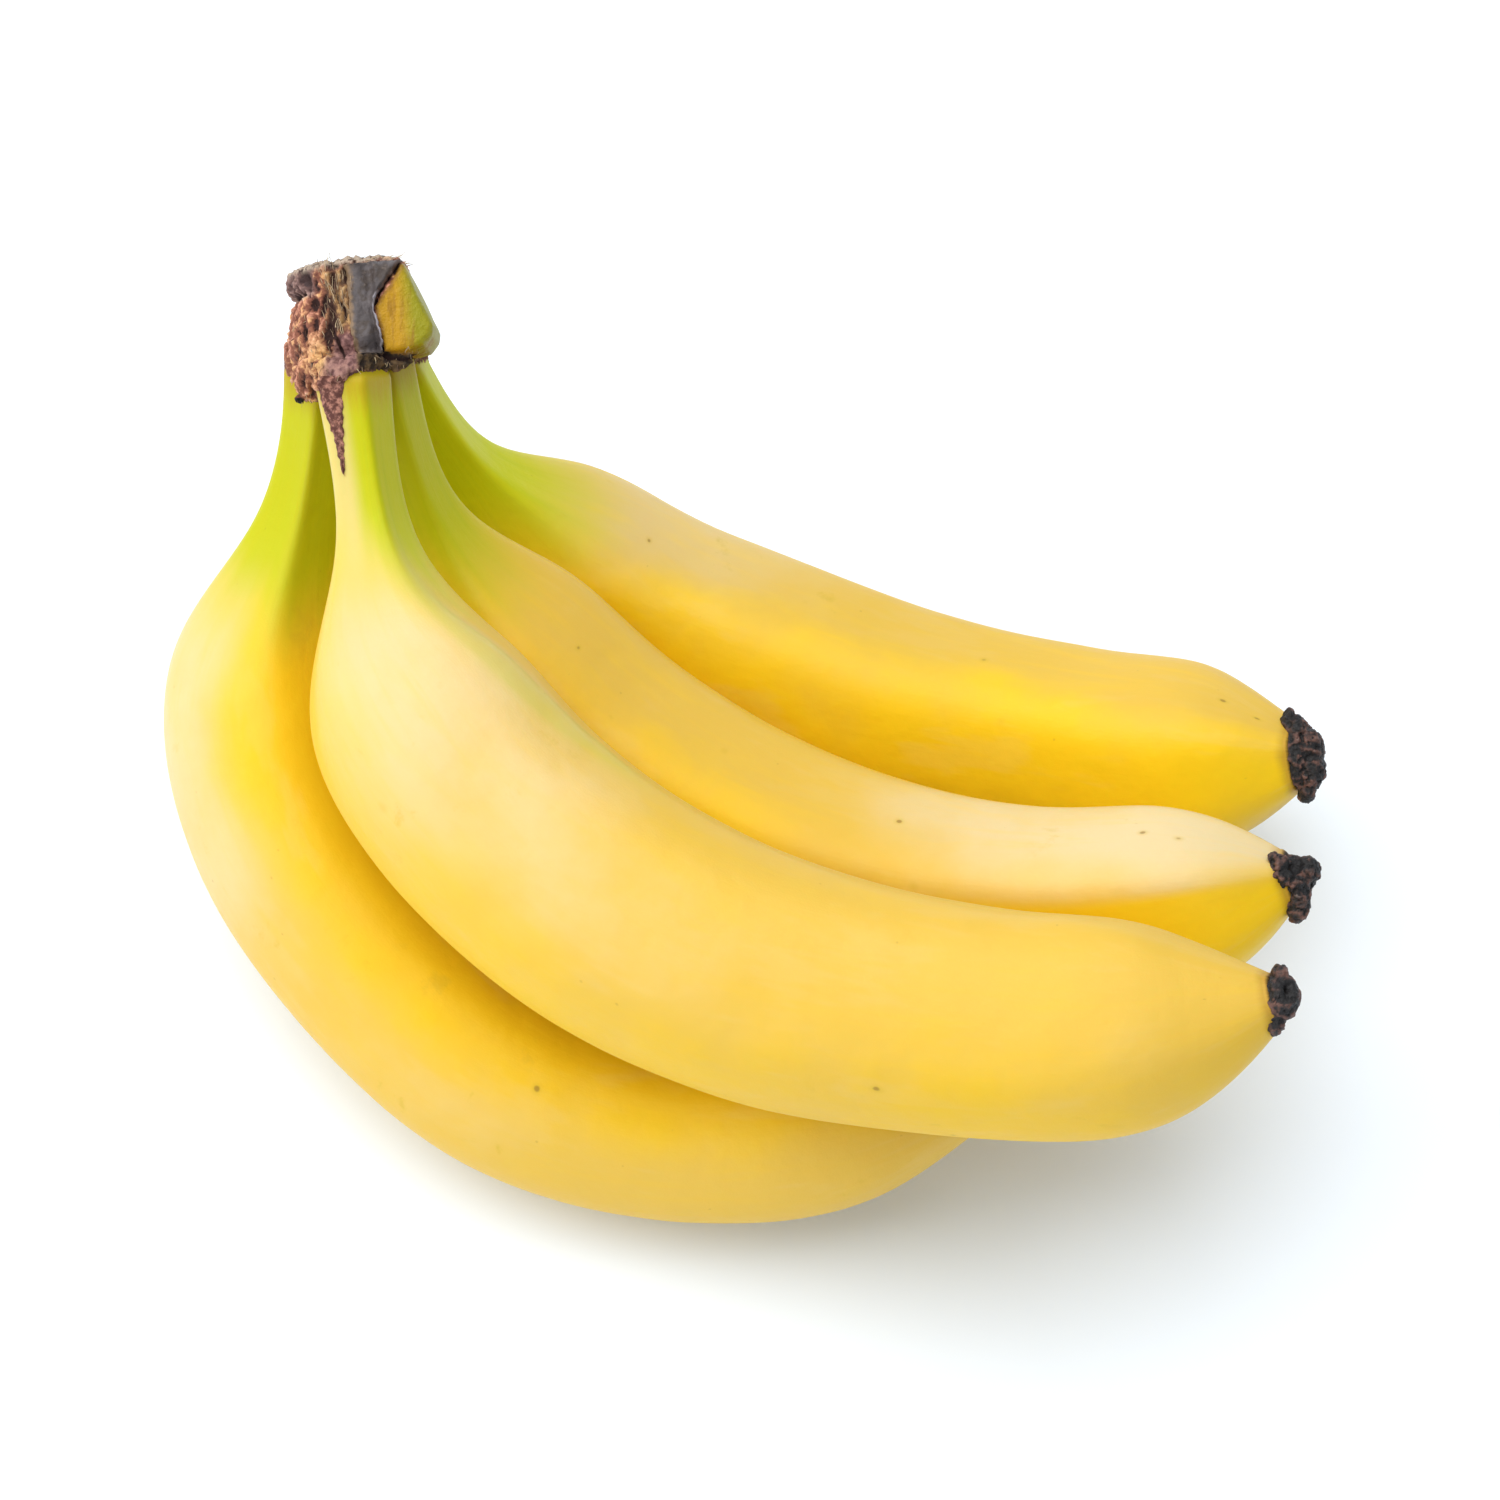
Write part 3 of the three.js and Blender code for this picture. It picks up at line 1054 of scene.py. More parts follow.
@dataclass(frozen=True)
class FibreFinish:
    """Dry fibres from brown to straw, by the tone that each one has."""

    tones: Grade = Grade((0.10, 0.045, 0.028), (0.58, 0.44, 0.27), 0.0, 1.0)

    def material(self, name: str) -> Material:
        """Makes the fibres' finish.

        Args:
            name: The material's name.

        Returns:
            The material.
        """
        sheet = MaterialSheet(name)
        fine = sheet.noise(sheet.object_place(), 0.0008, 3.0, 0.6)
        colour = self.tones.at(sheet, sheet.attribute("tone") + (fine - 0.5) * 0.6)
        return sheet.finish(colour, 0.7 + fine * 0.2, sheet.bump(fine, 0.00004), Specular_IOR_Level=0.3)


@dataclass(frozen=True)
class ScarFinish:
    """The dried flower end: black, brittle and a little brown on its edges."""

    black: Colour = (0.008, 0.006, 0.006)
    brown: Colour = (0.14, 0.062, 0.044)
    crests: Colour = (0.27, 0.19, 0.16)

    def material(self, name: str) -> Material:
        """Makes the dried tip's finish.

        Args:
            name: The material's name.

        Returns:
            The material.
        """
        sheet = MaterialSheet(name)
        place = sheet.object_place()
        crumbs = sheet.noise(place, 0.0011, 4.0, 0.65)
        lumps = sheet.noise(place, 0.003, 2.0, 0.6)
        height = sheet.attribute("relief") * 1.6 + (crumbs - 0.5) * 1.6
        colour = sheet.mix(height.step(-0.15, 0.4) * lumps.step(0.36, 0.54), self.black, self.brown)
        colour = sheet.mix(height.step(0.35, 0.75) * 0.6, colour, self.crests)
        relief = sheet.bump(crumbs, 0.0005)
        relief = sheet.bump(sheet.noise(place, 0.0004, 3.0, 0.6), 0.00015, relief)
        return sheet.finish(colour, 0.35 + crumbs * 0.4, relief, Specular_IOR_Level=0.45)


@dataclass(frozen=True)
class ShellFinish:
    """The smooth slate-brown shell with its curled rim, paler and lit by a painted highlight."""

    slate: Colour = (0.058, 0.045, 0.044)
    slate_light: Colour = (0.115, 0.095, 0.095)
    blotch: Colour = (0.055, 0.036, 0.026)
    speck: Colour = (0.25, 0.19, 0.15)
    upper_rim: Colour = (0.09, 0.045, 0.028)
    # The curled rim's paler colour, together with a painted highlight.
    pale_rim_and_highlight: Colour = (0.30, 0.27, 0.30)
    frayed: Colour = (0.26, 0.16, 0.08)

    def material(self, name: str) -> Material:
        """Makes the shell's finish.

        Args:
            name: The material's name.

        Returns:
            The material.
        """
        sheet = MaterialSheet(name)
        place = sheet.object_place()
        width = sheet.attribute("width")
        tall = sheet.attribute("height")
        fine = sheet.noise(place, 0.0009, 4.0, 0.6)
        broad = sheet.noise(place, 0.004, 2.0, 0.5)
        blotches = sheet.noise(place, 0.0022, 3.0, 0.6, 0.4)
        rim = (width + (fine - 0.5) * 0.08).step(0.92, 0.985)
        colour = sheet.mix(broad.step(0.35, 0.65) * 0.9, self.slate, self.slate_light)
        colour = sheet.mix(blotches.step(0.5, 0.62) * 0.7, colour, self.blotch)
        colour = sheet.mix(fine.step(0.58, 0.75) * 0.4, colour, self.speck)
        colour = sheet.mix(rim * tall.step(0.35, 0.25) * 0.8, colour, self.upper_rim)
        # The curled rim: paler in colour, and lit by a painted highlight.
        colour = sheet.mix(rim * tall.step(0.25, 0.36) * tall.step(0.97, 0.9) * 0.9, colour, self.pale_rim_and_highlight)
        colour = sheet.mix((width + (fine - 0.5) * 0.3).step(0.22, 0.03) * 0.8, colour, self.frayed)
        return sheet.finish(colour, 0.5 + fine * 0.25, sheet.bump(fine, 0.00025), Specular_IOR_Level=0.45)


@dataclass(frozen=True)
class StripFinish:
    """The red-brown dried strip that runs down a stem."""

    tones: Grade = Grade((0.10, 0.034, 0.026), (0.46, 0.21, 0.15), 0.42, 0.7)

    def material(self, name: str) -> Material:
        """Makes the strip's finish.

        Args:
            name: The material's name.

        Returns:
            The material.
        """
        sheet = MaterialSheet(name)
        fine = sheet.noise(sheet.object_place(), 0.0009, 4.0, 0.65)
        colour = self.tones.at(sheet, fine)
        return sheet.finish(colour, 0.75 + fine * 0.15, sheet.bump(fine, 0.0003), Specular_IOR_Level=0.3)


@dataclass
class Fruit:
    """One banana: its spine, thickness, five-faced section and dried tip. Lengths are in millimetres.

    The peel starts narrower at its root, its rings crowd towards the tip and the last ones close over it.
    The crest is a fine ridge: places along the spine, its direction there in degrees and its height.
    """

    place: str
    spine: Spine
    girth: float
    roll: float
    twist: float
    taper: tuple[float, ...]
    tip_length: float
    ridges: float
    crest: tuple[Triple, ...]
    finish: PeelFinish
    neck: float = 1.0
    peel_reach: float = 1.2
    segments: int = 128
    rings: int = 280
    end_rings: int = 16
    end_bulge: float = 0.008
    crowding: float = 1.25
    root_scale: float = 0.72
    root_share: float = 0.012

    def radius(self, share: float) -> float:
        """The fruit's mean radius at a share of its spine, in metres.

        Args:
            share: The place along the spine.

        Returns:
            The radius.
        """
        shares = [Vector((value, 0.0)) for value in (*GIRTH_SHARES, *self.taper)]
        for step in NECK_STEPS:
            shares[step] *= self.neck
        return self.girth * spline_point(shares, share)[0] * MM

    def sharpness(self, share: float) -> float:
        """How sharp the section's ridges are at a share of the spine."""
        soft = blend_step(share, STEM_SHARE, ROUNDING_SHARE)
        return STEM_SHARPNESS + (self.ridges - STEM_SHARPNESS) * soft

    def turned(self, share: float) -> float:
        """How far the section is turned at a share of the spine, in radians."""
        return math.radians(self.roll + self.twist * blend_step(share, STEM_SHARE, ROUNDING_SHARE))

    def section(self, share: float, angle: float) -> float:
        """The distance from the spine to the skin, in metres.

        Args:
            share: The place along the spine.
            angle: The angle round it, in radians, before roll and twist.

        Returns:
            The distance.
        """
        power = self.sharpness(share)
        turned = self.turned(share)
        total = sum(
            max(math.cos(angle - turned - math.radians(face)) / distance, 0.0) ** power
            for face, distance in zip(FACE_ANGLES, FACE_DISTANCES)
        )
        return total ** (-1 / power) / (HALF_WIDTH[0] - HALF_WIDTH[1] / power) * self.radius(share)

    def end_share(self) -> float:
        """Where the peel starts to close under the dried tip."""
        return 1 - (self.tip_length - self.peel_reach) * MM / self.spine.length()

    def frames(self) -> list[RingFrame]:
        """The peel's rings from the pole inside the crown to the pole under the dried tip.

        Returns:
            The rings.
        """
        end = self.end_share()
        body = self.rings - self.end_rings - 1
        shares = [0.0] + [end * (1 - (1 - i / body) ** self.crowding) for i in range(body)]
        swells = [blend_step(share, 0.0, self.root_share) for share in shares[1:]]
        scales = [0.0] + [self.root_scale + (1 - self.root_scale) * swell for swell in swells]
        for i in range(self.end_rings + 1):
            turn = math.pi / 2 * i / self.end_rings
            shares.append(end + self.end_bulge * math.sin(turn))
            scales.append(math.cos(turn) if i < self.end_rings else 0.0)
        places, turns, rises = zip(*self.crest)
        rings = []
        for share, scale, (side, over) in zip(shares, scales, self.spine.sides(shares)):
            turned = self.turned(share)
            width = self.radius(min(share, end)) * scale
            rings.append(
                RingFrame(
                    centre=self.spine.at(share),
                    side=(side * math.cos(turned) + over * math.sin(turned)) * width,
                    over=(over * math.cos(turned) - side * math.sin(turned)) * width,
                    share=share,
                    sharpness=self.sharpness(share),
                    crest_turn=math.radians(float(np.interp(share, places, turns))) - turned,
                    crest_rise=float(np.interp(share, places, rises)) * MM * scale,
                )
            )
        return rings

    def build(self, sweep: "PeelSweep") -> None:
        """Makes the fruit's peel and fixes it to the frame.

        Args:
            sweep: The rule that turns ring frames into peel.
        """
        name = f"peel_{self.place}"
        rings = self.frames()
        numbers = ("share", "sharpness", "crest_turn", "crest_rise")
        guide = Guide(
            [ring.centre for ring in rings],
            {key: [getattr(ring, key) for ring in rings] for key in ("centre", "side", "over")},
            {key: [getattr(ring, key) for ring in rings] for key in numbers},
        )
        inputs = {
            "Segments": self.segments,
            "Rings": self.rings,
            "Length": self.spine.length(),
            "Girth": self.girth * MM,
            "Peel End": self.end_share(),
            "Peel": self.finish.material(name),
        }
        hand_over(evaluated_piece(name, guide, sweep.sheet, inputs), Slot.PEEL, f"banana_{self.place}")


class PeelSweep:
    """The rule for a fruit's peel: five soft faces round a bent spine, with a crest and shallow dents."""

    def __init__(self) -> None:
        """Builds the tree."""
        sheet = GeometrySheet("peel_sweep")
        self.sheet = sheet
        segments = sheet.input("Segments", "Int", 96)
        rings = sheet.input("Rings", "Int", 200)
        length = sheet.number("Length", 0.19)
        girth = sheet.number("Girth", 0.018)
        dent = sheet.number("Dent Depth", 0.0005)
        peel_end = sheet.number("Peel End", 0.97)
        crest_width = sheet.number("Crest Width", 0.2)
        material = sheet.input("Peel", "Material")
        ball, ring, angle = sheet.capsule(segments, rings)
        centre, side, over = (sheet.sample(name, "FLOAT_VECTOR", ring) for name in ("centre", "side", "over"))
        share, sharpness, crest_turn, crest_rise = (
            Calc(sheet, sheet.sample(name, "FLOAT", ring))
            for name in ("share", "sharpness", "crest_turn", "crest_rise")
        )
        powers = [
            ((angle - math.radians(face)).cos().at_least(0.0001) / distance) ** sharpness
            for face, distance in zip(FACE_ANGLES, FACE_DISTANCES)
        ]
        half_width = HALF_WIDTH[0] - HALF_WIDTH[1] * sheet.math("DIVIDE", 1.0, sharpness)
        section = sum(powers[1:], powers[0]) ** sheet.math("DIVIDE", -1.0, sharpness) / half_width
        from_crest = 1.0 - (angle - crest_turn).cos()
        crest = sheet.math("EXPONENT", from_crest * -2.0 / (crest_width * crest_width)) * crest_rise
        across = sheet.vector_math(
            "ADD", sheet.scaled(side, section * angle.cos()), sheet.scaled(over, section * angle.sin())
        )
        base = sheet.vector_math("ADD", centre, across)
        outwards = sheet.vector_math("NORMALIZE", across)
        broad, narrow, narrow_share, full_crest = 0.03, 0.011, 0.35, 0.0006
        waves = sheet.noise(base, broad, 1.0, 0.4) + sheet.noise(base, narrow, 1.0, 0.4) * narrow_share
        swell = (waves - 0.5 * (1 + narrow_share)) * dent * share.step(0.1, 0.3)
        x, y, z = sheet.parts(sheet.vector_math("ADD", base, sheet.scaled(outwards, swell + crest)))
        on_floor = sheet.vector(x, y, z.at_least(0.0))
        grain = sheet.vector(angle.cos() * girth, angle.sin() * girth, share * length)
        marked = sheet.store(ball, "grain", "FLOAT_VECTOR", grain)
        for name, value in {
            "along": share,
            "turn": angle,
            "crest": crest / full_crest,
            "to_tip": (peel_end - share) * length,
        }.items():
            marked = sheet.store(marked, name, "FLOAT", value)
        sheet.close(sheet.flipped(sheet.place(marked, on_floor)), material)


class FibreRods:
    """The rule for dry fibres: thin tapered rods that start on given points and waver a little."""

    def __init__(self) -> None:
        """Builds the tree."""
        sheet = GeometrySheet("fibre_rods")
        self.sheet = sheet
        sides = sheet.input("Sides", "Int", 5)
        waver = sheet.number("Waver", 0.0004)
        material = sheet.input("Fibre", "Material")
        wavelength = 0.0016
        shape = {"Vertices": sides, "Side Segments": 6, "Radius Top": 0.3, "Radius Bottom": 1.0, "Depth": 1.0}
        rod = sheet.wired("GeometryNodeMeshCone", shape)
        direction = sheet.named("direction", "FLOAT_VECTOR")
        turned = sheet.wired("FunctionNodeAlignRotationToVector", {"Vector": direction}, axis="Z")
        planted = sheet.wired(
            "GeometryNodeInstanceOnPoints",
            {
                "Points": sheet.entry.outputs["Geometry"],
                "Instance": rod.outputs["Mesh"],
                "Rotation": turned.outputs[0],
                "Scale": sheet.named("size", "FLOAT_VECTOR"),
            },
        )
        whole = sheet.wired("GeometryNodeRealizeInstances", {"Geometry": planted.outputs[0]})
        place = sheet.node("GeometryNodeInputPosition").outputs[0]
        swirl = sheet.wired("ShaderNodeTexNoise", {"Vector": place, "Scale": 1 / wavelength, "Detail": 1.0})
        centred = sheet.vector_math("SUBTRACT", swirl.outputs["Color"], (0.5, 0.5, 0.5))
        moved = sheet.vector_math("ADD", place, sheet.scaled(centred, waver * 2.0))
        sheet.close(sheet.place(whole.outputs["Geometry"], moved), material)


def circle(around: int) -> Outline:
    """The cosine and sine of even steps round a circle."""
    angles = [2 * math.pi * j / around for j in range(around)]
    return tuple((math.cos(angle), math.sin(angle)) for angle in angles)
def ball(centre: Vector, axes: tuple[Vector, Vector, Vector], around: int = 20, rings: int = 12) -> Mould:
    """Points and faces of a closed egg.

    Args:
        centre: Its middle, in metres.
        axes: Its three half axes, in metres.
        around: How many points a ring has.
        rings: How many steps lead from pole to pole.

    Returns:
        The points and the faces.
    """
    loops = []
    for i in range(1, rings):
        polar = math.pi * i / rings
        wide, high = math.sin(polar), math.cos(polar)
        ways = circle(around)
        loops.append([centre + axes[0] * wide * x + axes[1] * wide * y + axes[2] * high for x, y in ways])
    return capped_loft(loops, centre + axes[2], centre - axes[2])


def capped_loft(loops: list[list[Vector]], first: Vector, last: Vector) -> Mould:
    """Points and faces of a closed skin over loops, with one pole at each end.

    Args:
        loops: Rings of equally many points.
        first: The pole before the first ring.
        last: The pole after the last ring.

    Returns:
        The points and the faces.
    """
    around = len(loops[0])
    points = [point for loop in loops for point in loop]
    faces: list[tuple[int, ...]] = []
    for i in range(len(loops) - 1):
        for j in range(around):
            k = (j + 1) % around
            faces.append((i * around + j, (i + 1) * around + j, (i + 1) * around + k, i * around + k))
    start, end = len(points), len(points) + 1
    points += [first, last]
    base = (len(loops) - 1) * around
    for j in range(around):
        k = (j + 1) % around
        faces.append((start, j, k))
        faces.append((end, base + k, base + j))
    return points, faces

def closed_sheet(outer: list[Vector], inner: list[Vector], wide: int, tall: int) -> Mould:
    """Points and faces of a thin closed sheet.

    Args:
        outer: The points of its upper side, row by row.
        inner: The points of its under side, in the same order.
        wide: How many faces a row has.
        tall: How many rows it has.

    Returns:
        The points and the faces.
    """
    columns = wide + 1
    shift = len(outer)
    faces: list[tuple[int, ...]] = []
    for i in range(tall):
        for a in range(i * columns, i * columns + wide):
            b, c, d = a + 1, a + columns + 1, a + columns
            faces.append((a, d, c, b))
            faces.append((shift + a, shift + b, shift + c, shift + d))
    border = list(range(columns))
    border += [i * columns + wide for i in range(1, tall + 1)]
    border += [tall * columns + j for j in range(wide - 1, -1, -1)]
    border += [i * columns for i in range(tall - 1, 0, -1)]
    for a, b in zip(border, border[1:] + border[:1]):
        faces.append((a, b, shift + b, shift + a))
    return outer + inner, faces
def fused(name: str, moulds: list[Mould], grain: float, smoothing: int) -> Piece:
    """Joins closed shapes under one even skin.

    Args:
        name: The piece's name.
        moulds: The closed shapes.
        grain: The size of the skin's faces, in metres.
        smoothing: How often the skin is smoothed.

    Returns:
        The piece, with the skin as a plain mesh.
    """
    points: list[Vector] = []
    faces: list[tuple[int, ...]] = []
    for some_points, some_faces in moulds:
        offset = len(points)
        points += some_points
        faces += [tuple(index + offset for index in face) for face in some_faces]
    mesh = bpy.data.meshes.new(f"{name}_mould")
    mesh.from_pydata(points, [], faces)
    source = linked(f"{name}_mould", mesh)
    skin = source.modifiers.new("skin", "REMESH")
    skin.mode = "VOXEL"
    skin.voxel_size = grain
    soften = source.modifiers.new("soften", "SMOOTH")
    soften.factor = 0.5
    soften.iterations = smoothing
    return plain_piece(name, source)


def keep(mesh: bpy.types.Mesh, name: str, values: np.ndarray) -> None:
    """Keeps a number on each point under a name that the material reads."""
    mesh.attributes.new(name, "FLOAT", "POINT").data.foreach_set("value", values.astype(np.float32))


def steps(values: np.ndarray, low: float, high: float) -> np.ndarray:
    """Smooth step of many values at once, from 0 at low to 1 at high."""
    t = np.clip((values - low) / (high - low), 0.0, 1.0)
    return t * t * (3 - 2 * t)


def hump(values: np.ndarray, middle: float, width: float) -> np.ndarray:
    """A bell of height 1 around a middle."""
    return np.exp(-(((values - middle) / width) ** 2))


def inside(u: np.ndarray, v: np.ndarray, outline: Outline) -> np.ndarray:
    """How far points lie inside a closed outline: positive inside, negative outside.

    Args:
        u: The points' first coordinate.
        v: The points' second coordinate.
        outline: The outline's corners.

    Returns:
        The signed distances.
    """
    nearest = np.full(u.shape, np.inf)
    within = np.zeros(u.shape, dtype=bool)
    for (ax, ay), (bx, by) in zip(outline, outline[1:] + outline[:1]):
        run, rise = bx - ax, by - ay
        along = np.clip(((u - ax) * run + (v - ay) * rise) / (run**2 + rise**2), 0, 1)
        nearest = np.minimum(nearest, np.hypot(u - ax - along * run, v - ay - along * rise))
        crosses = (ay > v) != (by > v)
        slope = run / rise if rise else 0.0
        within ^= crosses & (u < ax + (v - ay) * slope)
    return np.where(within, nearest, -nearest)


class Skin:
    """A mesh's points as arrays, which can be moved along their normals and given values."""

    def __init__(self, mesh: bpy.types.Mesh, origin: Vector, axes: tuple[Vector, Vector, Vector]) -> None:
        """Reads the points, in millimetres along three axes from an origin.

        Args:
            mesh: The mesh.
            origin: The origin, in metres.
            axes: Three unit directions.
        """
        self.mesh = mesh
        self.count = len(mesh.vertices)
        self.origin = np.array(origin)
        self.axes = np.array(axes)
        self.read()

    def read(self) -> None:
        """Reads the points and normals again."""
        flat = np.empty(self.count * 3)
        self.mesh.vertices.foreach_get("co", flat)
        self.local = (flat.reshape(-1, 3) - self.origin) @ self.axes.T / MM
        self.mesh.vertices.foreach_get("normal", flat)
        self.normals = flat.reshape(-1, 3) @ self.axes.T

    def places(self, size: float, stretch: Triple, seed: float) -> list[Vector]:
        """The points in parts of a size that is stretched along the axes, shifted by a seed."""
        return [Vector(place) for place in self.local / (size * np.array(stretch)) + seed]

    def noise(self, size: float, stretch: Triple = (1, 1, 1), seed: float = 0.0) -> np.ndarray:
        """Smooth noise from about -1 to 1.

        Args:
            size: The size of its features in millimetres.
            stretch: How much longer the features are along each axis.
            seed: An offset that gives another pattern.

        Returns:
            One value for each point.
        """
        return np.array([noise.noise(place) for place in self.places(size, stretch, seed)])

    def crags(self, size: float, stretch: Triple = (1, 1, 1), seed: float = 0.0) -> np.ndarray:
        """Creased noise around 0, with the arguments of the smooth one."""
        places = self.places(size, stretch, seed)
        return np.array([noise.ridged_multi_fractal(place, *FOLDS) for place in places]) - FOLDS_MIDDLE

    def pits(
        self, size: float, stretch: Triple = (1, 1, 1), bend: float = 0.0, seed: float = 0.0
    ) -> np.ndarray:
        """Distance to the nearest of scattered points, in parts of the size.

        Args:
            size: How far apart the points lie, in millimetres.
            stretch: How much further apart they are along each axis.
            bend: How far the pattern wanders, in parts of the size.
            seed: An offset that gives another pattern.

        Returns:
            One value for each point.
        """
        places = self.places(size, stretch, seed)
        return np.array([noise.voronoi(p + noise.noise_vector(p * 1.4) * bend)[0][0] for p in places])

    def move(self, amounts: np.ndarray) -> None:
        """Moves each point along its normal.

        Args:
            amounts: How far each point moves, in millimetres.
        """
        moved = self.local + self.normals * amounts[:, None]
        world = moved * MM @ self.axes + self.origin
        self.mesh.vertices.foreach_set("co", world.ravel())
        self.mesh.update()
        self.read()

    def finish(self, material: Material) -> None:
        """Shades the mesh smooth and gives it one material.

        Args:
            material: The material.
        """
        self.mesh.shade_smooth()
        self.mesh.materials.clear()
        self.mesh.materials.append(material)


@dataclass(frozen=True)
class Lump:
    """An egg of dry crust: its place and its half sizes along the axes of what it sits on, in millimetres."""

    place: Triple
    size: Triple


@dataclass(frozen=True)
class Tuft:
    """A zone of the cork that fibres stand on, in the crown's own axes and millimetres."""

    count: int
    across: tuple[float, float]
    down: tuple[float, float]
    least_front: float
    way: Triple
    lift: float
    stray: float
    length: tuple[float, float]
    tone: tuple[float, float]
    below_hem: bool = False


@dataclass(frozen=True)
class CrownRing:
    """One ring of the crown in millimetres: its place down and across, its half width and half depth."""

    distance: float
    shift: float
    half_width: float
    half_depth: float


@dataclass
class Crown:
    """The corky crown that joins the stems, with a dark shell, living skin and a strip down a stem.

    In its own axes u runs across, v down from the cut face and w towards the front, in millimetres.
    """

    top: Vector = field(default_factory=lambda: in_part(Vector((-61.2, 74.8, 87.6))))
    down: Vector = field(default_factory=lambda: Vector((0.126, -0.884, -0.45)).normalized())
    across: Vector = field(default_factory=lambda: Vector((0.992, 0.112, 0.057)).normalized())
    section_power: float = 2.6
    set_back: float = 1.0
    grain: float = 0.00028
    smoothing: int = 3
    rings: tuple[CrownRing, ...] = (
        CrownRing(0, -0.1, 8.1, 11),
        CrownRing(0.8, -0.35, 8.5, 11.8),
        CrownRing(3.4, -0.6, 8.3, 12),
        CrownRing(5.3, -0.1, 8.6, 12.6),
        CrownRing(7.6, 0.25, 9.55, 13.2),
        CrownRing(10, 0.45, 10.3, 13.6),
        CrownRing(12.4, 0.3, 10.4, 13.6),
        CrownRing(14.4, -0.6, 9.3, 12.8),
        CrownRing(16.4, -2.0, 8.0, 11.4),
        CrownRing(18.4, -3.4, 6.6, 9.6),
    )
    skin_outline: Outline = (
        (9.0, 1.7), (8.3, 3.0), (5.4, 6.7), (4.2, 8.1), (4.5, 11.6), (4.7, 15.1),
        (7.4, 15.6), (9.8, 15.4), (11.8, 15.0), (13.6, 14.2), (20.0, 13.6), (20.0, 1.0),
    )
    block_outline: Outline = (
        (4.2, 1.0), (8.8, 1.2), (10.1, 5.0), (11.5, 9.1), (12.5, 12.0), (12.1, 13.3),
        (10.7, 14.7), (8.0, 15.2), (4.8, 15.0), (4.4, 11.5), (4.0, 8.2),
    )
    block_slices: Outline = (
        (-8.5, 0.5), (-7.0, 0.8), (-4.0, 0.97), (0.0, 1.0), (6.0, 1.0), (10.4, 0.99), (11.6, 0.95),
        (12.1, 0.86),
    )
    block_slant: float = 0.24
    block_pivot: float = 4.0
    cork_hem: Outline = (
        (-20.0, 11.0), (-12.0, 14.5), (-10.8, 18.2), (-9.9, 20.0), (-8.8, 20.6), (-6.4, 19.8), (-4.5, 20.3),
        (-2.5, 19.8), (-1.0, 18.9), (1.0, 17.4), (3.0, 16.6), (5.0, 17.2), (7.0, 17.0), (8.4, 15.8),
        (9.6, 14.4), (11.0, 12.4), (12.0, 9.0), (20.0, 8.0),
    )
    lumps: tuple[Lump, ...] = (
        Lump((-6.6, 17.0, 6.4), (2.9, 3.4, 5.0)),
        Lump((-9.1, 20.1, 7.0), (0.8, 0.7, 1.2)),
        Lump((-6.6, 2.8, 3.0), (2.5, 1.9, 6.0)),
    )
    lip_beads: tuple[tuple[float, float, float, float], ...] = (
        (1.2, 15.9, 10.4, 1.2), (2.7, 16.0, 10.3, 1.25), (4.3, 16.3, 9.8, 1.3), (5.9, 16.5, 8.8, 1.35),
        (7.2, 16.1, 7.2, 1.2), (8.0, 15.5, 5.4, 1.0),
    )
    bead_stretch: float = 1.3
    shell_left: Outline = ((0.2, 1.3), (0.6, 4.3), (0.6, 6.6), (0.4, 9.6), (0.2, 11.8), (0.9, 15.2))
    shell_right: Outline = (
        (8.9, 1.5), (6.6, 4.4), (4.3, 6.7), (4.1, 8.5), (4.6, 10.9), (4.9, 13.1), (4.4, 15.3),
    )
    strip_left: Outline = (
        (-5.3, 16.6), (-5.5, 19.6), (-5.2, 22.7), (-4.4, 25.2), (-4.0, 28.2), (-3.8, 31.3), (-3.5, 32.6),
    )
    strip_right: Outline = (
        (-0.6, 16.6), (-1.9, 20.3), (-2.4, 24.2), (-2.7, 27.2), (-3.0, 30.0), (-3.2, 31.6), (-3.4, 32.8),
    )
    tufts: tuple[Tuft, ...] = (
        Tuft(200, (-8.5, 8.5), (-0.3, 1.0), -12.0, (1.0, -0.12, 0.0), 0.04, 0.16, (0.8, 2.2), (0.45, 1.1)),
        Tuft(110, (-3.6, 1.2), (1.2, 12.0), 4.0, (0.0, -1.0, 0.0), 0.12, 0.2, (1.2, 2.8), (0.1, 0.9)),
        Tuft(110, (-9.0, -3.0), (5.0, 18.0), 0.0, (0.1, 1.0, 0.0), 0.12, 0.3, (0.8, 1.8), (0.0, 0.7)),
        Tuft(120, (-9.5, 10.0), (-1.5, 0.2), -10.0, (0.0, 1.0, 0.0), 0.12, 0.3, (0.5, 1.2), (0.0, 0.9), True),
    )

    @property
    def deep(self) -> Vector:
        """The direction towards the front."""
        return self.down.cross(self.across).normalized()

    def point(self, u: float, v: float, w: float) -> Vector:
        """A point of the crown's own axes in the part's frame, in metres."""
        return self.top + (self.across * u + self.down * v + self.deep * w) * MM

    def hem(self, u: object) -> np.ndarray:
        """How far down the cork reaches at places across."""
        return np.interp(u, *zip(*self.cork_hem))

    def trunk(self) -> Mould:
        """The crown's own rounded-oblong body.

        Returns:
            Its points and faces.
        """
        loops = []
        for ring in self.rings:
            loop = []
            for way in circle(72):
                x, y = (math.copysign(abs(value) ** (2 / self.section_power), value) for value in way)
                u = ring.shift + ring.half_width * x
                loop.append(self.point(u, ring.distance, ring.half_depth * y - self.set_back))
            loops.append(loop)
        first, last = self.rings[0], self.rings[-1]
        return capped_loft(
            loops,
            self.point(first.shift, first.distance, -self.set_back),
            self.point(last.shift, last.distance, -self.set_back),
        )

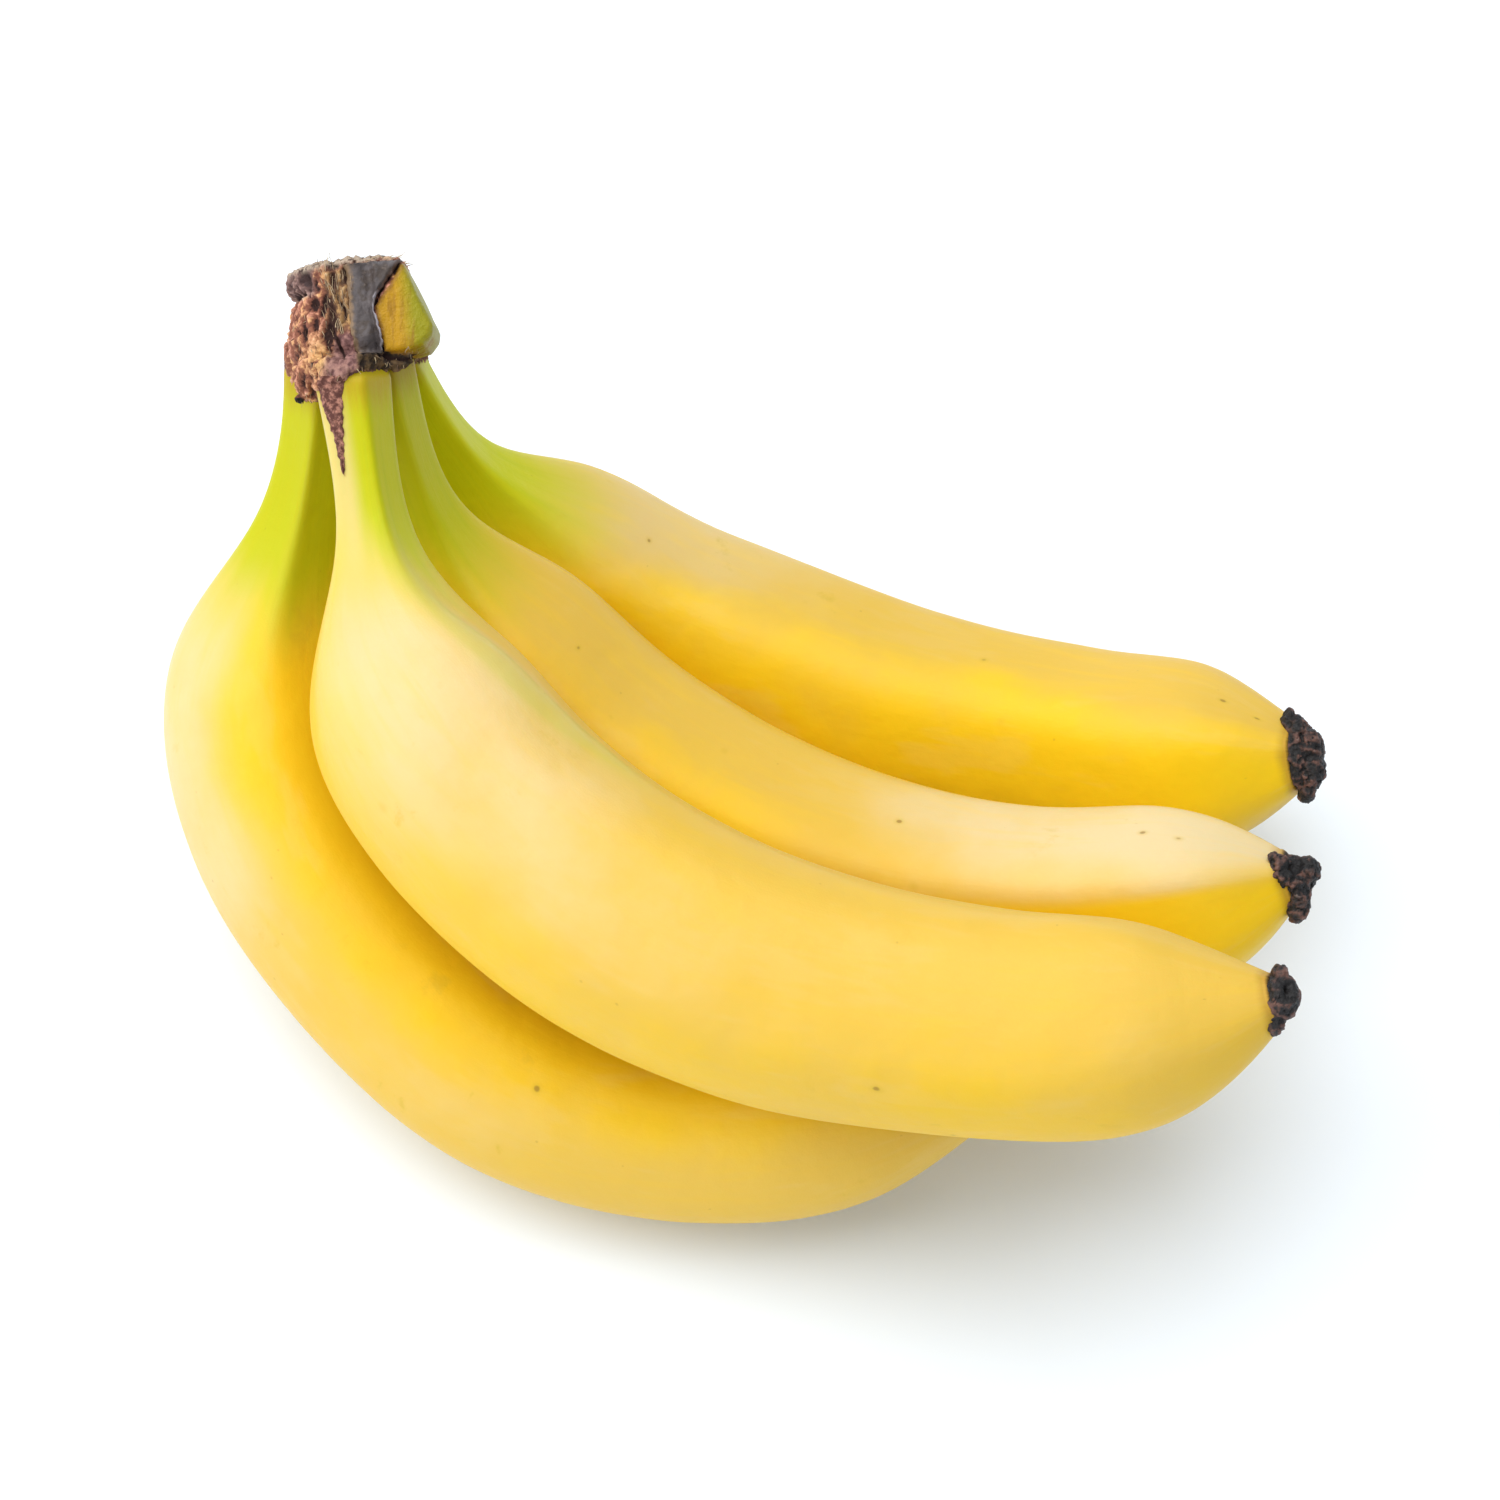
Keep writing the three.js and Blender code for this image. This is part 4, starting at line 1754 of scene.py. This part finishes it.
    def block(self) -> Mould:
        """The block of living skin that stands at the crown's right side.

        Returns:
            Its points and faces.
        """
        parts = 6
        corners = [Vector((*corner, 0.0)) for corner in self.block_outline]
        middle = sum(corners, Vector()) / len(corners)
        loops = []
        for w, scale in self.block_slices:
            slant = self.block_slant if w > 0 else 0.0
            loop = []
            for first, second in zip(corners, corners[1:] + corners[:1]):
                for k in range(parts):
                    place = middle + (first.lerp(second, k / parts) - middle) * scale
                    loop.append(self.point(place.x, place.y, w - slant * (place.x - self.block_pivot)))
            loops.append(loop)
        back = self.block_slices[0][0]
        front = self.block_slices[-1][0] - self.block_slant * (middle.x - self.block_pivot)
        return capped_loft(loops, self.point(middle.x, middle.y, back), self.point(middle.x, middle.y, front))

    def sleeve(self, fruit: Fruit) -> Mould:
        """The cork that reaches over the start of one stem.

        Args:
            fruit: The fruit that the stem belongs to.

        Returns:
            Its points and faces.
        """
        around, count, end = 40, 16, 0.05
        sunk, swell, less_at_left = -0.8, 1.3, 0.6
        shares = [end * i / (count - 1) for i in range(count)]
        back_up = fruit.spine.tangent(0.0) * 1.5 * MM
        loops = []
        for share, (side, over) in zip(shares, fruit.spine.sides(shares)):
            centre = fruit.spine.at(share) - (back_up if share == 0 else Vector())
            loop = []
            for j in range(around):
                angle = 2 * math.pi * j / around
                way = side * math.cos(angle) + over * math.sin(angle)
                reach = fruit.section(share, angle)
                place = centre + way * reach
                u, v = ((place - self.top).dot(axis) / MM for axis in (self.across, self.down))
                above = float(self.hem(u)) - v
                rise = (swell - less_at_left * blend_step(u, -8.5, -10.0)) * blend_step(above, -0.4, 0.9)
                loop.append(centre + way * (reach + (sunk + rise) * MM))
            loops.append(loop)
        return capped_loft(loops, fruit.spine.at(0.0) - back_up, fruit.spine.at(end))

    def egg(self, lump: Lump) -> Mould:
        """A lump of cork, with its sizes across, down and deep."""
        ways = zip((self.across, self.deep, self.down), (lump.size[0], lump.size[2], lump.size[1]))
        return ball(self.point(*lump.place), tuple(way * size * MM for way, size in ways))

    def build(self, fruits: list[Fruit]) -> None:
        """Makes the crown's pieces and fixes them to the frame.

        Args:
            fruits: The four fruit, which already have their peel.
        """
        eggs = [self.egg(lump) for lump in self.lumps]
        for u, v, w, radius in self.lip_beads:
            eggs.append(self.egg(Lump((u, v, w), (self.bead_stretch * radius, radius, radius))))
        moulds = [self.trunk(), self.block(), *eggs, *map(self.sleeve, fruits)]
        piece = fused("crown_cork", moulds, self.grain, self.smoothing)
        skin = Skin(piece.data, self.top, (self.across, self.down, self.deep))
        self.carve(skin)
        skin.finish(CorkFinish().material("cork"))
        hand_over(piece, Slot.CROWN, "crown")
        self.plant_fibres(skin)
        self.lay_sheets(piece)

    def zones(self, skin: Skin) -> dict[str, np.ndarray]:
        """Where each kind of surface lies on the crown.

        Args:
            skin: The crown's skin in its own axes.

        Returns:
            A share from 0 to 1 for each point and kind, but for "patch" the distance into the living skin.
        """
        u, v, w = skin.local.T
        front = steps(w, -3.0, 2.0)
        patch = inside(u, v, self.skin_outline)
        patch = np.where(w > -6.0, patch, patch - (-6.0 - w) * 1.5) + skin.noise(2.5) * 0.2
        bent = skin.noise(2.2, seed=31.0) * 0.7
        golden = front * steps(u + bent, -3.6, -2.0) * steps(u, 2.0, 0.6)
        mauve = front * steps(u + bent + 0.4 * np.maximum(v - 11.0, 0.0), -2.6, -1.0)
        lip = hump(v - 0.03 * u, 16.0, 1.8) * steps(u, 0.4, 1.8) * steps(u, 12.0, 11.0)
        crack = hump(u + 0.5 * np.sin(v * 1.3), -0.6, 0.4) * steps(v, 4.5, 6.5) * steps(v, 12.0, 10.0)
        cleft = hump(u - 0.35 * (v - 12.0), -2.2, 0.35) * steps(v, 9.0, 11.0) * steps(v, 17.0, 15.0)
        hem = self.hem(u)
        # Painted shade below the cork's lower hem at the left, and on the small crumb that sits on it.
        hem_shade = steps(v, hem + 0.3, hem + 0.6) * steps(u, -5.0, -6.5)
        crumb_edge = steps(np.hypot(u + 9.2, v - 20.4), 0.95, 0.7)
        shell = inside(u, v, self.shell_left + self.shell_right[::-1])
        return {
            "front": front,
            "patch": patch,
            "golden": golden * steps(v, 1.2, 2.6) * steps(v + bent, 12.0, 10.0),
            "mauve": mauve * steps(v + bent, 10.6, 12.4),
            "top_face": steps(v, 1.0, 0.3),
            "rim": hump(v, 0.6, 0.7),
            "knob": steps(u, -3.6, -5.2) * steps(v, 5.9, 4.8),
            "lobe": np.exp(-(((u + 4.6) / 2.7) ** 2) - ((v - 15.0) / 3.2) ** 2) * front,
            "lip": lip * steps(w, -3.0, -1.0),
            "rightward": steps(u, 4.0, 13.0),
            "hem_shade": np.maximum(hem_shade, crumb_edge) * front,
            "gap": hump(patch, -0.5, 0.4) * front * steps(v, 1.6, 2.4),
            "crack": crack * front,
            "cleft": cleft * front,
            "notch": hump(v + 0.12 * (u + 8.0), 5.0, 0.5) * steps(u, -3.5, -7.0) * steps(w, -6.0, -3.0),
            "under_shell": steps(shell, -0.2, 0.4) * front,
            "calmer": steps(u, -8.8, -10.4) * steps(v, 10.5, 12.5),
            "strip_root": steps(u, 2.4, 0.6),
        }

    @staticmethod
    def torn(skin: Skin, zones: dict[str, np.ndarray]) -> np.ndarray:
        """The relief of the torn cork in millimetres, from zone to zone.

        Args:
            skin: The crown's skin in its own axes.
            zones: The share of each kind of surface.

        Returns:
            One height for each point.
        """
        golden, mauve, top_face = (zones[name] for name in ("golden", "mauve", "top_face"))
        lumps = skin.noise(3.2, (1, 1.5, 1)) * 0.45
        grit = skin.noise(0.8, (1, 1.7, 1), 3.0) * 0.34 + skin.noise(0.45, seed=5.0) * 0.16
        holes = steps(skin.pits(1.15, (1, 1.7, 1), 0.7), 0.36, 0.08)
        fibres = skin.crags(1.6, (1, 4.0, 1), 11.0) * 1.1 + skin.noise(0.7, (1, 4.5, 1), 13.0) * 0.35
        cork = lumps + skin.crags(2.0, (1, 1.7, 1), 2.0) * 0.75 + grit - 0.6 * holes - 0.1
        calm = skin.noise(1.3, (1, 2.2, 1), 17.0) * 0.35 + skin.crags(2.4, (1, 1.8, 1), 19.0) * 0.6 + grit
        carved = cork * (1 - golden) * (1 - mauve) + (fibres + grit * 0.7) * golden + calm * mauve
        carved = carved * (1 - 0.6 * top_face) + top_face * skin.noise(1.0, (1, 1, 3), 4.0) * 0.3
        return carved * (1 - 0.5 * zones["calmer"])

    def carve(self, skin: Skin) -> None:
        """Gives the crown its torn cork, grooves, lip and dished face, and keeps the zones for the material.

        Args:
            skin: The crown's skin in its own axes.
        """
        zones = self.zones(skin)
        gap, crack, cleft, notch = (zones[name] for name in ("gap", "crack", "cleft", "notch"))
        living = steps(zones["patch"], -0.1, 0.25)
        carved = self.torn(skin, zones)
        smooth = 0.15 + skin.noise(1.7, (1, 7, 1), 2.0) * 0.1 + skin.noise(6.0) * 0.2
        amount = carved * (1 - living) + smooth * living
        amount = amount - gap * 1.3 - notch * 1.1 - crack * 1.3 - cleft * 0.8
        amount = amount * (1 - 0.4 * zones["lip"]) + zones["lip"] * skin.noise(1.1, seed=21.0) * 0.35
        amount = amount * (1 - 0.8 * zones["under_shell"]) - 0.3 * zones["under_shell"]
        dish = zones["top_face"] * (0.5 + 0.5 * skin.noise(4.0, seed=6.0))
        skin.move(amount - dish * 0.6)
        # The places that the material darkens with painted shade: the cork's pits, the gap round the living
        # skin, the crack, the cleft and the notch.
        pores = np.clip(0.45 - carved * 0.9, 0, 1) * (1 - living)
        zones["hollow"] = pores + gap + crack + cleft + notch * 0.7
        zones["relief"] = np.clip(carved, -1.3, 1.3)
        zones["mauve"] = zones["mauve"] * zones["strip_root"]
        for name in (
            "patch", "hollow", "relief", "knob", "lobe", "golden", "mauve", "rim", "top_face", "lip",
            "rightward", "hem_shade", "front",
        ):
            keep(skin.mesh, name, zones[name])

    def plant_fibres(self, skin: Skin) -> None:
        """Plants the dry fibres of the cut rim, the torn front and the lower hem.

        Args:
            skin: The carved skin.
        """
        random = np.random.default_rng(SEED)
        sunk = 0.15
        thinnest, thickest = 0.05, 0.10
        axes = (self.across, self.down, self.deep)
        guide = Guide([], {"direction": [], "size": []}, {"tone": []})
        u, v, w = skin.local.T
        for tuft in self.tufts:
            zone = (u > tuft.across[0]) & (u < tuft.across[1]) & (w > tuft.least_front)
            base = v - (self.hem(u) if tuft.below_hem else 0.0)
            zone &= (base > tuft.down[0]) & (base < tuft.down[1])
            for index in random.choice(np.flatnonzero(zone), tuft.count):
                way = np.array(tuft.way) + skin.normals[index] * tuft.lift + random.normal(0.0, tuft.stray, 3)
                thick = random.uniform(thinnest, thickest)
                direction = sum((axis * k for axis, k in zip(axes, way)), Vector()).normalized()
                guide.points.append(self.point(*(skin.local[index] - skin.normals[index] * sunk)))
                guide.vectors["direction"].append(direction)
                guide.vectors["size"].append(Vector((thick, thick, random.uniform(*tuft.length))) * MM)
                guide.numbers["tone"].append(random.uniform(*tuft.tone))
        inputs = {"Waver": 0.0004, "Fibre": FibreFinish().material("fibres")}
        hand_over(evaluated_piece("crown_fibres", guide, FibreRods().sheet, inputs), Slot.CROWN)

    def lay_sheets(self, body: Piece) -> None:
        """Lays the dark shell and the strip on what lies under them.

        Args:
            body: The finished cork body.
        """
        depsgraph = bpy.context.evaluated_depsgraph_get()
        peels = [bpy.data.objects[name] for name in ("peel_front", "peel_left", "peel_middle")]
        grounds = [BVHTree.FromObject(ground, depsgraph) for ground in (body, *peels)]
        shell, strip = (self.shell_left, self.shell_right), (self.strip_left, self.strip_right)
        self.sheet("crown_shell", shell, grounds[:1], self.shell_lift, ShellFinish())
        self.sheet("crown_strip", strip, grounds, self.strip_lift, StripFinish())

    @staticmethod
    def shell_lift(s: float, t: float) -> float:
        """How far the dark shell stands off the cork, with its curled right rim and its loose corner.

        Args:
            s: The share of its width.
            t: The share of its length.

        Returns:
            The distance in millimetres.
        """
        curl = blend_step(s, 0.80, 0.97) * (0.9 + 0.5 * math.sin(9 * t + 0.6) * t)
        curl = curl * (0.35 + 0.65 * blend_step(t, 0.2, 0.36))
        corner = 1.1 * math.exp(-(((t - 0.36) / 0.07) ** 2)) * blend_step(s, 0.7, 1.0)
        frayed = 0.35 * blend_step(s, 0.12, 0.0)
        dents = 0.3 * noise.noise(Vector((s * 3.0, t * 5.0, 1.7)))
        return 0.75 + curl + corner - frayed + dents

    @staticmethod
    def strip_lift(s: float, t: float) -> float:
        """How far the strip stands off the stem.

        Args:
            s: The share of its width.
            t: The share of its length.

        Returns:
            The distance in millimetres.
        """
        ridge = 0.4 * math.sin(math.pi * s) ** 0.7
        rise = 0.12 + ridge * (1 - 0.6 * t) + 0.3 * noise.noise(Vector((s * 3.0, t * 16.0, 4.2)))
        return rise * blend_step(t, 0.0, 0.14) - 0.5 * blend_step(t, 0.12, 0.0)

    def sheet(
        self,
        name: str,
        edges: tuple[Outline, Outline],
        grounds: list[BVHTree],
        lift: Callable[[float, float], float],
        finish: ShellFinish | StripFinish,
    ) -> None:
        """Lays a closed sheet between two edges.

        Args:
            name: The piece's name.
            edges: The left and the right edge from top to bottom.
            grounds: What the sheet lies on.
            lift: How far it stands off at a share of its width and of its length.
            finish: Its finish.
        """
        wide, tall = 44, 110
        sunk, in_front, usual_reach = 0.9, 40.0, 0.035
        aim = -self.deep
        borders = [[Vector((*place, 0.0)) for place in edge] for edge in edges]
        outer: list[Vector] = []
        inner: list[Vector] = []
        widths: list[float] = []
        heights: list[float] = []
        for i in range(tall + 1):
            t = i / tall
            start, end = (spline_point(border, t) for border in borders)
            for j in range(wide + 1):
                s = j / wide
                place = start.lerp(end, s)
                u = place.x + 0.25 * noise.noise(Vector((place.x * 1.3, place.y * 1.3, 9.0)))
                v = place.y + 0.2 * noise.noise(Vector((place.x * 1.7, place.y * 1.7, 3.0)))
                origin = self.point(u, v, in_front)
                hits = [ground.ray_cast(origin, aim) for ground in grounds]
                reach = min((hit[3] for hit in hits if hit[0] is not None), default=usual_reach)
                outer.append(origin + aim * (reach - lift(s, t) * MM))
                inner.append(origin + aim * (reach + sunk * MM))
                widths.append(s)
                heights.append(t)
        self.settle(outer, wide, tall)
        points, faces = closed_sheet(outer, inner, wide, tall)
        mesh = bpy.data.meshes.new(name)
        mesh.from_pydata(points, [], faces)
        keep(mesh, "width", np.array(widths + widths))
        keep(mesh, "height", np.array(heights + heights))
        mesh.materials.append(finish.material(name))
        mesh.shade_smooth()
        hand_over(linked(name, mesh), Slot.CROWN)

    @staticmethod
    def settle(points: list[Vector], wide: int, tall: int) -> None:
        """Evens out a laid sheet, apart from its edges.

        Args:
            points: Its points, row by row, which are changed.
            wide: How many faces a row has.
            tall: How many rows it has.
        """
        columns = wide + 1
        rounds = 4
        for _ in range(rounds):
            before = [point.copy() for point in points]
            for i in range(1, tall):
                for j in range(1, wide):
                    k = i * columns + j
                    around = before[k - 1] + before[k + 1] + before[k - columns] + before[k + columns]
                    points[k] = before[k] * 0.5 + around * 0.125


@dataclass
class DriedTip:
    """The dried flower end of one fruit: a crust over its blunt end with lumps on it.

    Lumps and hollows have their place from the fruit's end: to the right, up in the photograph's plane and
    towards the viewer.
    """

    fruit: Fruit
    lumps: tuple[Lump, ...]
    hollows: tuple[Lump, ...] = ()
    cover: float = 0.8
    grain: float = 0.00016
    smoothing: int = 5
    crust: float = 0.35
    hollow_depth: float = 1.4

    def stub(self) -> Mould:
        """The crust round the fruit's blunt end.

        Returns:
            Its points and faces.
        """
        fruit = self.fruit
        border = fruit.end_share() + 0.001
        count = 12
        shares = [border + (1 - border) * i / (count - 1) for i in range(count)]
        base = fruit.radius(fruit.end_share()) * self.cover
        loops = []
        for i, (share, (side, over)) in enumerate(zip(shares, fruit.spine.sides(shares))):
            narrowing = 1.0 - 0.45 * blend_step(i / (count - 1), 0.3, 1.0)
            width = base * narrowing + self.crust * MM * (1 if 0 < i else -1)
            centre = fruit.spine.at(share)
            loops.append([centre + (side * x + over * y) * width for x, y in circle(40)])
        return capped_loft(loops, fruit.spine.at(border), fruit.spine.at(1.0))

    def build(self, material: Material) -> None:
        """Makes the tip and fixes it to the frame.

        Args:
            material: Its finish.
        """
        end = self.fruit.spine.at(1.0)
        moulds = [self.stub()]
        for lump in self.lumps:
            centre = end + sum((axis * value * MM for axis, value in zip(VIEW_AXES, lump.place)), Vector())
            moulds.append(ball(centre, tuple(axis * value * MM for axis, value in zip(VIEW_AXES, lump.size))))
        piece = fused(f"dried_{self.fruit.place}", moulds, self.grain, self.smoothing)
        skin = Skin(piece.data, end, VIEW_AXES)
        rough = skin.crags(2.6, seed=3.0) * 0.4 + skin.noise(1.1, seed=8.0) * 0.2
        rough = rough + skin.noise(0.5, seed=1.0) * 0.12
        amount = rough - 0.3 * steps(skin.pits(1.2, bend=0.6, seed=2.0), 0.34, 0.08)
        for hollow in self.hollows:
            offset = (skin.local - np.array(hollow.place)) / np.array(hollow.size)
            amount = amount - self.hollow_depth * np.exp(-(offset**2).sum(axis=1))
        skin.move(amount)
        keep(skin.mesh, "relief", np.clip(amount, -1.0, 1.0))
        skin.finish(material)
        hand_over(piece, Slot.TIP, f"tip_{self.fruit.place}")


@dataclass(frozen=True)
class Softbox:
    """A square softbox: its place and the length of its side in metres, and its power in watts."""

    name: str
    place: Triple
    side: float
    power: float

    def hang(self, towards: Triple) -> None:
        """Hangs the softbox.

        Args:
            towards: The point that it faces.
        """
        light = bpy.data.lights.new(self.name, "AREA")
        light.shape = "SQUARE"
        light.size = self.side
        light.energy = self.power
        lamp = linked(self.name, light)
        lamp.location = self.place
        lamp.rotation_euler = (Vector(self.place) - Vector(towards)).to_track_quat("Z", "Y").to_euler()


@dataclass
class Studio:
    """White floor, soft light from the upper left, and the photograph's camera. Lengths are in metres."""

    distance: float = 0.613
    lens: float = 100.0
    sensor: float = 36.0
    aim: Vector = field(default_factory=lambda: in_part(Vector((0.0, 0.0, 72.0))))
    middle: Triple = (0.0, 0.0, 0.04)
    floor_size: float = 8.0
    floor_drop: float = 0.0001
    white: Colour = (0.88, 0.935, 1.0)
    sky: Colour = (0.86, 0.94, 1.0)
    sky_strength: float = 0.5
    softboxes: tuple[Softbox, ...] = (
        Softbox("key", (-1.04, 0.0, 0.79), 0.9, 7.0),
        Softbox("overhead", (-0.2, 0.45, 1.8), 2.0, 34.0),
        Softbox("fill", (-0.6, -1.2, 0.45), 0.7, 4.8),
    )

    def build(self) -> None:
        """Makes floor, lights, world and camera."""
        self.floor()
        self.lights()
        self.camera()

    def floor(self) -> None:
        """Lays the plain white floor."""
        bpy.ops.mesh.primitive_plane_add(size=self.floor_size, location=(0.0, 0.0, -self.floor_drop))
        floor = bpy.context.active_object
        floor.name = "floor"
        sheet = MaterialSheet("white_floor")
        grain = sheet.bump(sheet.noise(sheet.object_place(), 0.2), 0.00001)
        floor.data.materials.append(sheet.finish((*self.white, 1.0), 0.9, grain))

    def lights(self) -> None:
        """Hangs the softboxes and sets the pale world."""
        scene = bpy.context.scene
        world = bpy.data.worlds.new("studio")
        world.use_nodes = True
        background = world.node_tree.nodes["Background"]
        background.inputs["Color"].default_value = (*self.sky, 1.0)
        background.inputs["Strength"].default_value = self.sky_strength
        scene.world = world
        for softbox in self.softboxes:
            softbox.hang(self.middle)
        scene.view_settings.view_transform = "Standard"

    def camera(self) -> None:
        """Sets the camera at the photograph's viewing angle."""
        data = bpy.data.cameras.new("camera")
        data.lens = self.lens
        data.sensor_width = self.sensor
        camera = linked("camera", data)
        camera.location = self.aim + self.distance * VIEW_AXES[2]
        camera.rotation_euler = (math.pi / 2 - VIEW_TILT, 0.0, 0.0)
        bpy.context.scene.camera = camera


def bunch() -> list[Fruit]:
    """The four fruit.

    Returns:
        The fruit, from the left one to the one at the back.
    """
    return [
        Fruit(
            "left",
            Spine((
                (-65, 63, 80), (-68.4, 49, 59), (-76.8, 34, 39), (-72.6, 10, 28), (-55.4, -11, 21.5),
                (-37, -28.6, 17.5), (-12, -36.8, 16), (14, -38, 23), (39, -38, 34),
            )),
            girth=18.6, roll=8, twist=0, neck=1.15, ridges=3.8, taper=(0.85, 0.73, 0.45, 0.14), tip_length=5,
            crest=(
                (0, 260, 0), (0.05, 260, 0.25), (0.2, 262, 0.4), (0.32, 264, 0.1), (0.4, 264, 0), (1, 264, 0),
            ),
            finish=PeelFinish(
                highlight_turn=320, highlight_weight=0.8, shade_turn=218, shade_weight=1.15, green_until=0.175,
                green_fades=0.045, green_turn=280,
                green_deep=(0.50, 0.47, 0.001),
            ),
        ),
        Fruit(
            "front",
            Spine((
                (-60, 56, 89), (-57, 36, 75), (-52.6, 13, 67), (-37.2, -6.4, 60), (-17.4, -22, 58),
                (6, -32, 57), (30, -38, 60), (56, -42, 65), (77, -41, 76),
            )),
            girth=19.6, roll=0, twist=-15, ridges=3.8, taper=(0.86, 0.76, 0.46, 0.1), tip_length=4.2,
            crest=(
                (0, 252, 0), (0.1, 252, 0.1), (0.17, 245, 0.5), (0.26, 229, 0.85), (0.4, 216, 0.8),
                (0.6, 216, 0.35), (0.78, 222, 0.25), (0.9, 232, 0.55), (0.96, 236, 0.2), (1, 236, 0),
            ),
            finish=PeelFinish(
                highlight_turn=285, highlight_weight=0.85, shade_turn=5, shade_weight=0.72, green_until=0.155,
                green_fades=0.06, green_turn=215, green_all_round=0.15,
            ),
        ),
        Fruit(
            "middle",
            Spine((
                (-57, 63, 82), (-52, 47, 64), (-43, 36, 44), (-26, 22, 32), (-6, 8, 29),
                (16, -3, 31), (39, -10, 37), (61, -14, 46), (84, -12, 55),
            )),
            girth=18, roll=6, twist=0, ridges=5.5, taper=(0.87, 0.82, 0.58, 0.06), tip_length=5,
            crest=(
                (0, 260, 0), (0.5, 262, 0), (0.68, 264, 0.4), (0.86, 265, 0.6), (0.95, 266, 0.3), (1, 266, 0),
            ),
            finish=PeelFinish(
                highlight_turn=215, highlight_from=0.65, highlight_until=1.3, shade_turn=305, shade_weight=1.1,
                green_until=0.165, green_fades=0.06, green_turn=250, ridge_from=0.52,
                golden=(0.88, 0.55, 0.002),
            ),
        ),
        Fruit(
            "back",
            Spine((
                (-57.2, 70, 74), (-47.2, 61, 53), (-36, 59, 31), (-17, 51, 19), (4, 43, 17),
                (25, 34, 17), (47, 29, 20), (69, 20, 28), (89, 17, 37),
            )),
            girth=17.8, roll=8, twist=5, ridges=5, taper=(0.9, 0.86, 0.56, 0.16), tip_length=5.2,
            crest=((0, 262, 0), (1, 262, 0)),
            finish=PeelFinish(
                highlight_turn=215, highlight_until=0.45, highlight_weight=0.55, shade_turn=300, shade_weight=1.02,
                green_until=0.2, green_fades=0.08, green_turn=240,
                golden=(0.90, 0.575, 0.002),
                green=(0.56, 0.56, 0.001),
                green_deep=(0.48, 0.52, 0.001),
            ),
        ),
    ]


def tips(fruits: dict[str, Fruit]) -> list[DriedTip]:
    """The dried end of each fruit.

    Args:
        fruits: The fruit by place.

    Returns:
        The tips.
    """
    return [
        DriedTip(
            fruits["left"],
            lumps=(Lump((-0.4, 0.8, 0.6), (2.2, 2.8, 2.6)), Lump((-1.6, -2.6, 0.4), (1.7, 2.0, 2.0))),
        ),
        DriedTip(
            fruits["front"],
            lumps=(
                Lump((-1.9, -0.3, 0.6), (2.8, 3.4, 2.9)),
                Lump((-1.9, 2.9, 0.4), (1.2, 1.5, 1.5)),
                Lump((-2.7, -3.6, 0.4), (1.4, 2.2, 1.8)),
            ),
            hollows=(Lump((-0.9, 0.9, 3.2), (0.8, 1.3, 1.2)),),
            cover=0.66,
        ),
        DriedTip(
            fruits["middle"],
            lumps=(
                Lump((-5.0, 0.2, 2.6), (2.1, 2.7, 1.7)),
                Lump((-0.7, 0.4, 0.8), (1.9, 2.1, 2.2)),
                Lump((-2.9, -1.6, 1.3), (2.4, 1.8, 2.2)),
                Lump((-2.2, -4.2, 0.9), (2.0, 3.3, 2.2)),
                Lump((-6.2, 2.3, 2.8), (0.9, 1.1, 0.9)),
            ),
            hollows=(Lump((-2.9, 1.4, 3.4), (0.9, 1.2, 1.6)),),
            cover=0.66,
        ),
        DriedTip(
            fruits["back"],
            lumps=(
                Lump((-4.9, 5.6, 0.6), (1.1, 1.8, 1.4)),
                Lump((-3.6, 3.6, 0.6), (1.9, 2.6, 2.2)),
                Lump((-1.9, 1.2, 0.6), (2.7, 2.9, 2.7)),
                Lump((-1.5, -2.4, 0.8), (2.5, 3.4, 2.7)),
                Lump((-1.9, -5.7, 0.8), (1.5, 2.0, 1.7)),
            ),
            cover=0.88,
        ),
    ]


def main() -> None:
    """Builds every piece in order, then the studio."""
    logging.basicConfig(level=logging.INFO, format="%(message)s")
    noise.seed_set(SEED)
    sweep = PeelSweep()
    scar = ScarFinish().material("dried_tip")
    fruits = bunch()
    for fruit in fruits:
        fruit.build(sweep)
    Crown().build(fruits)
    for tip in tips({fruit.place: fruit for fruit in fruits}):
        tip.build(scar)
    Studio().build()


if __name__ == "__main__":
    main()
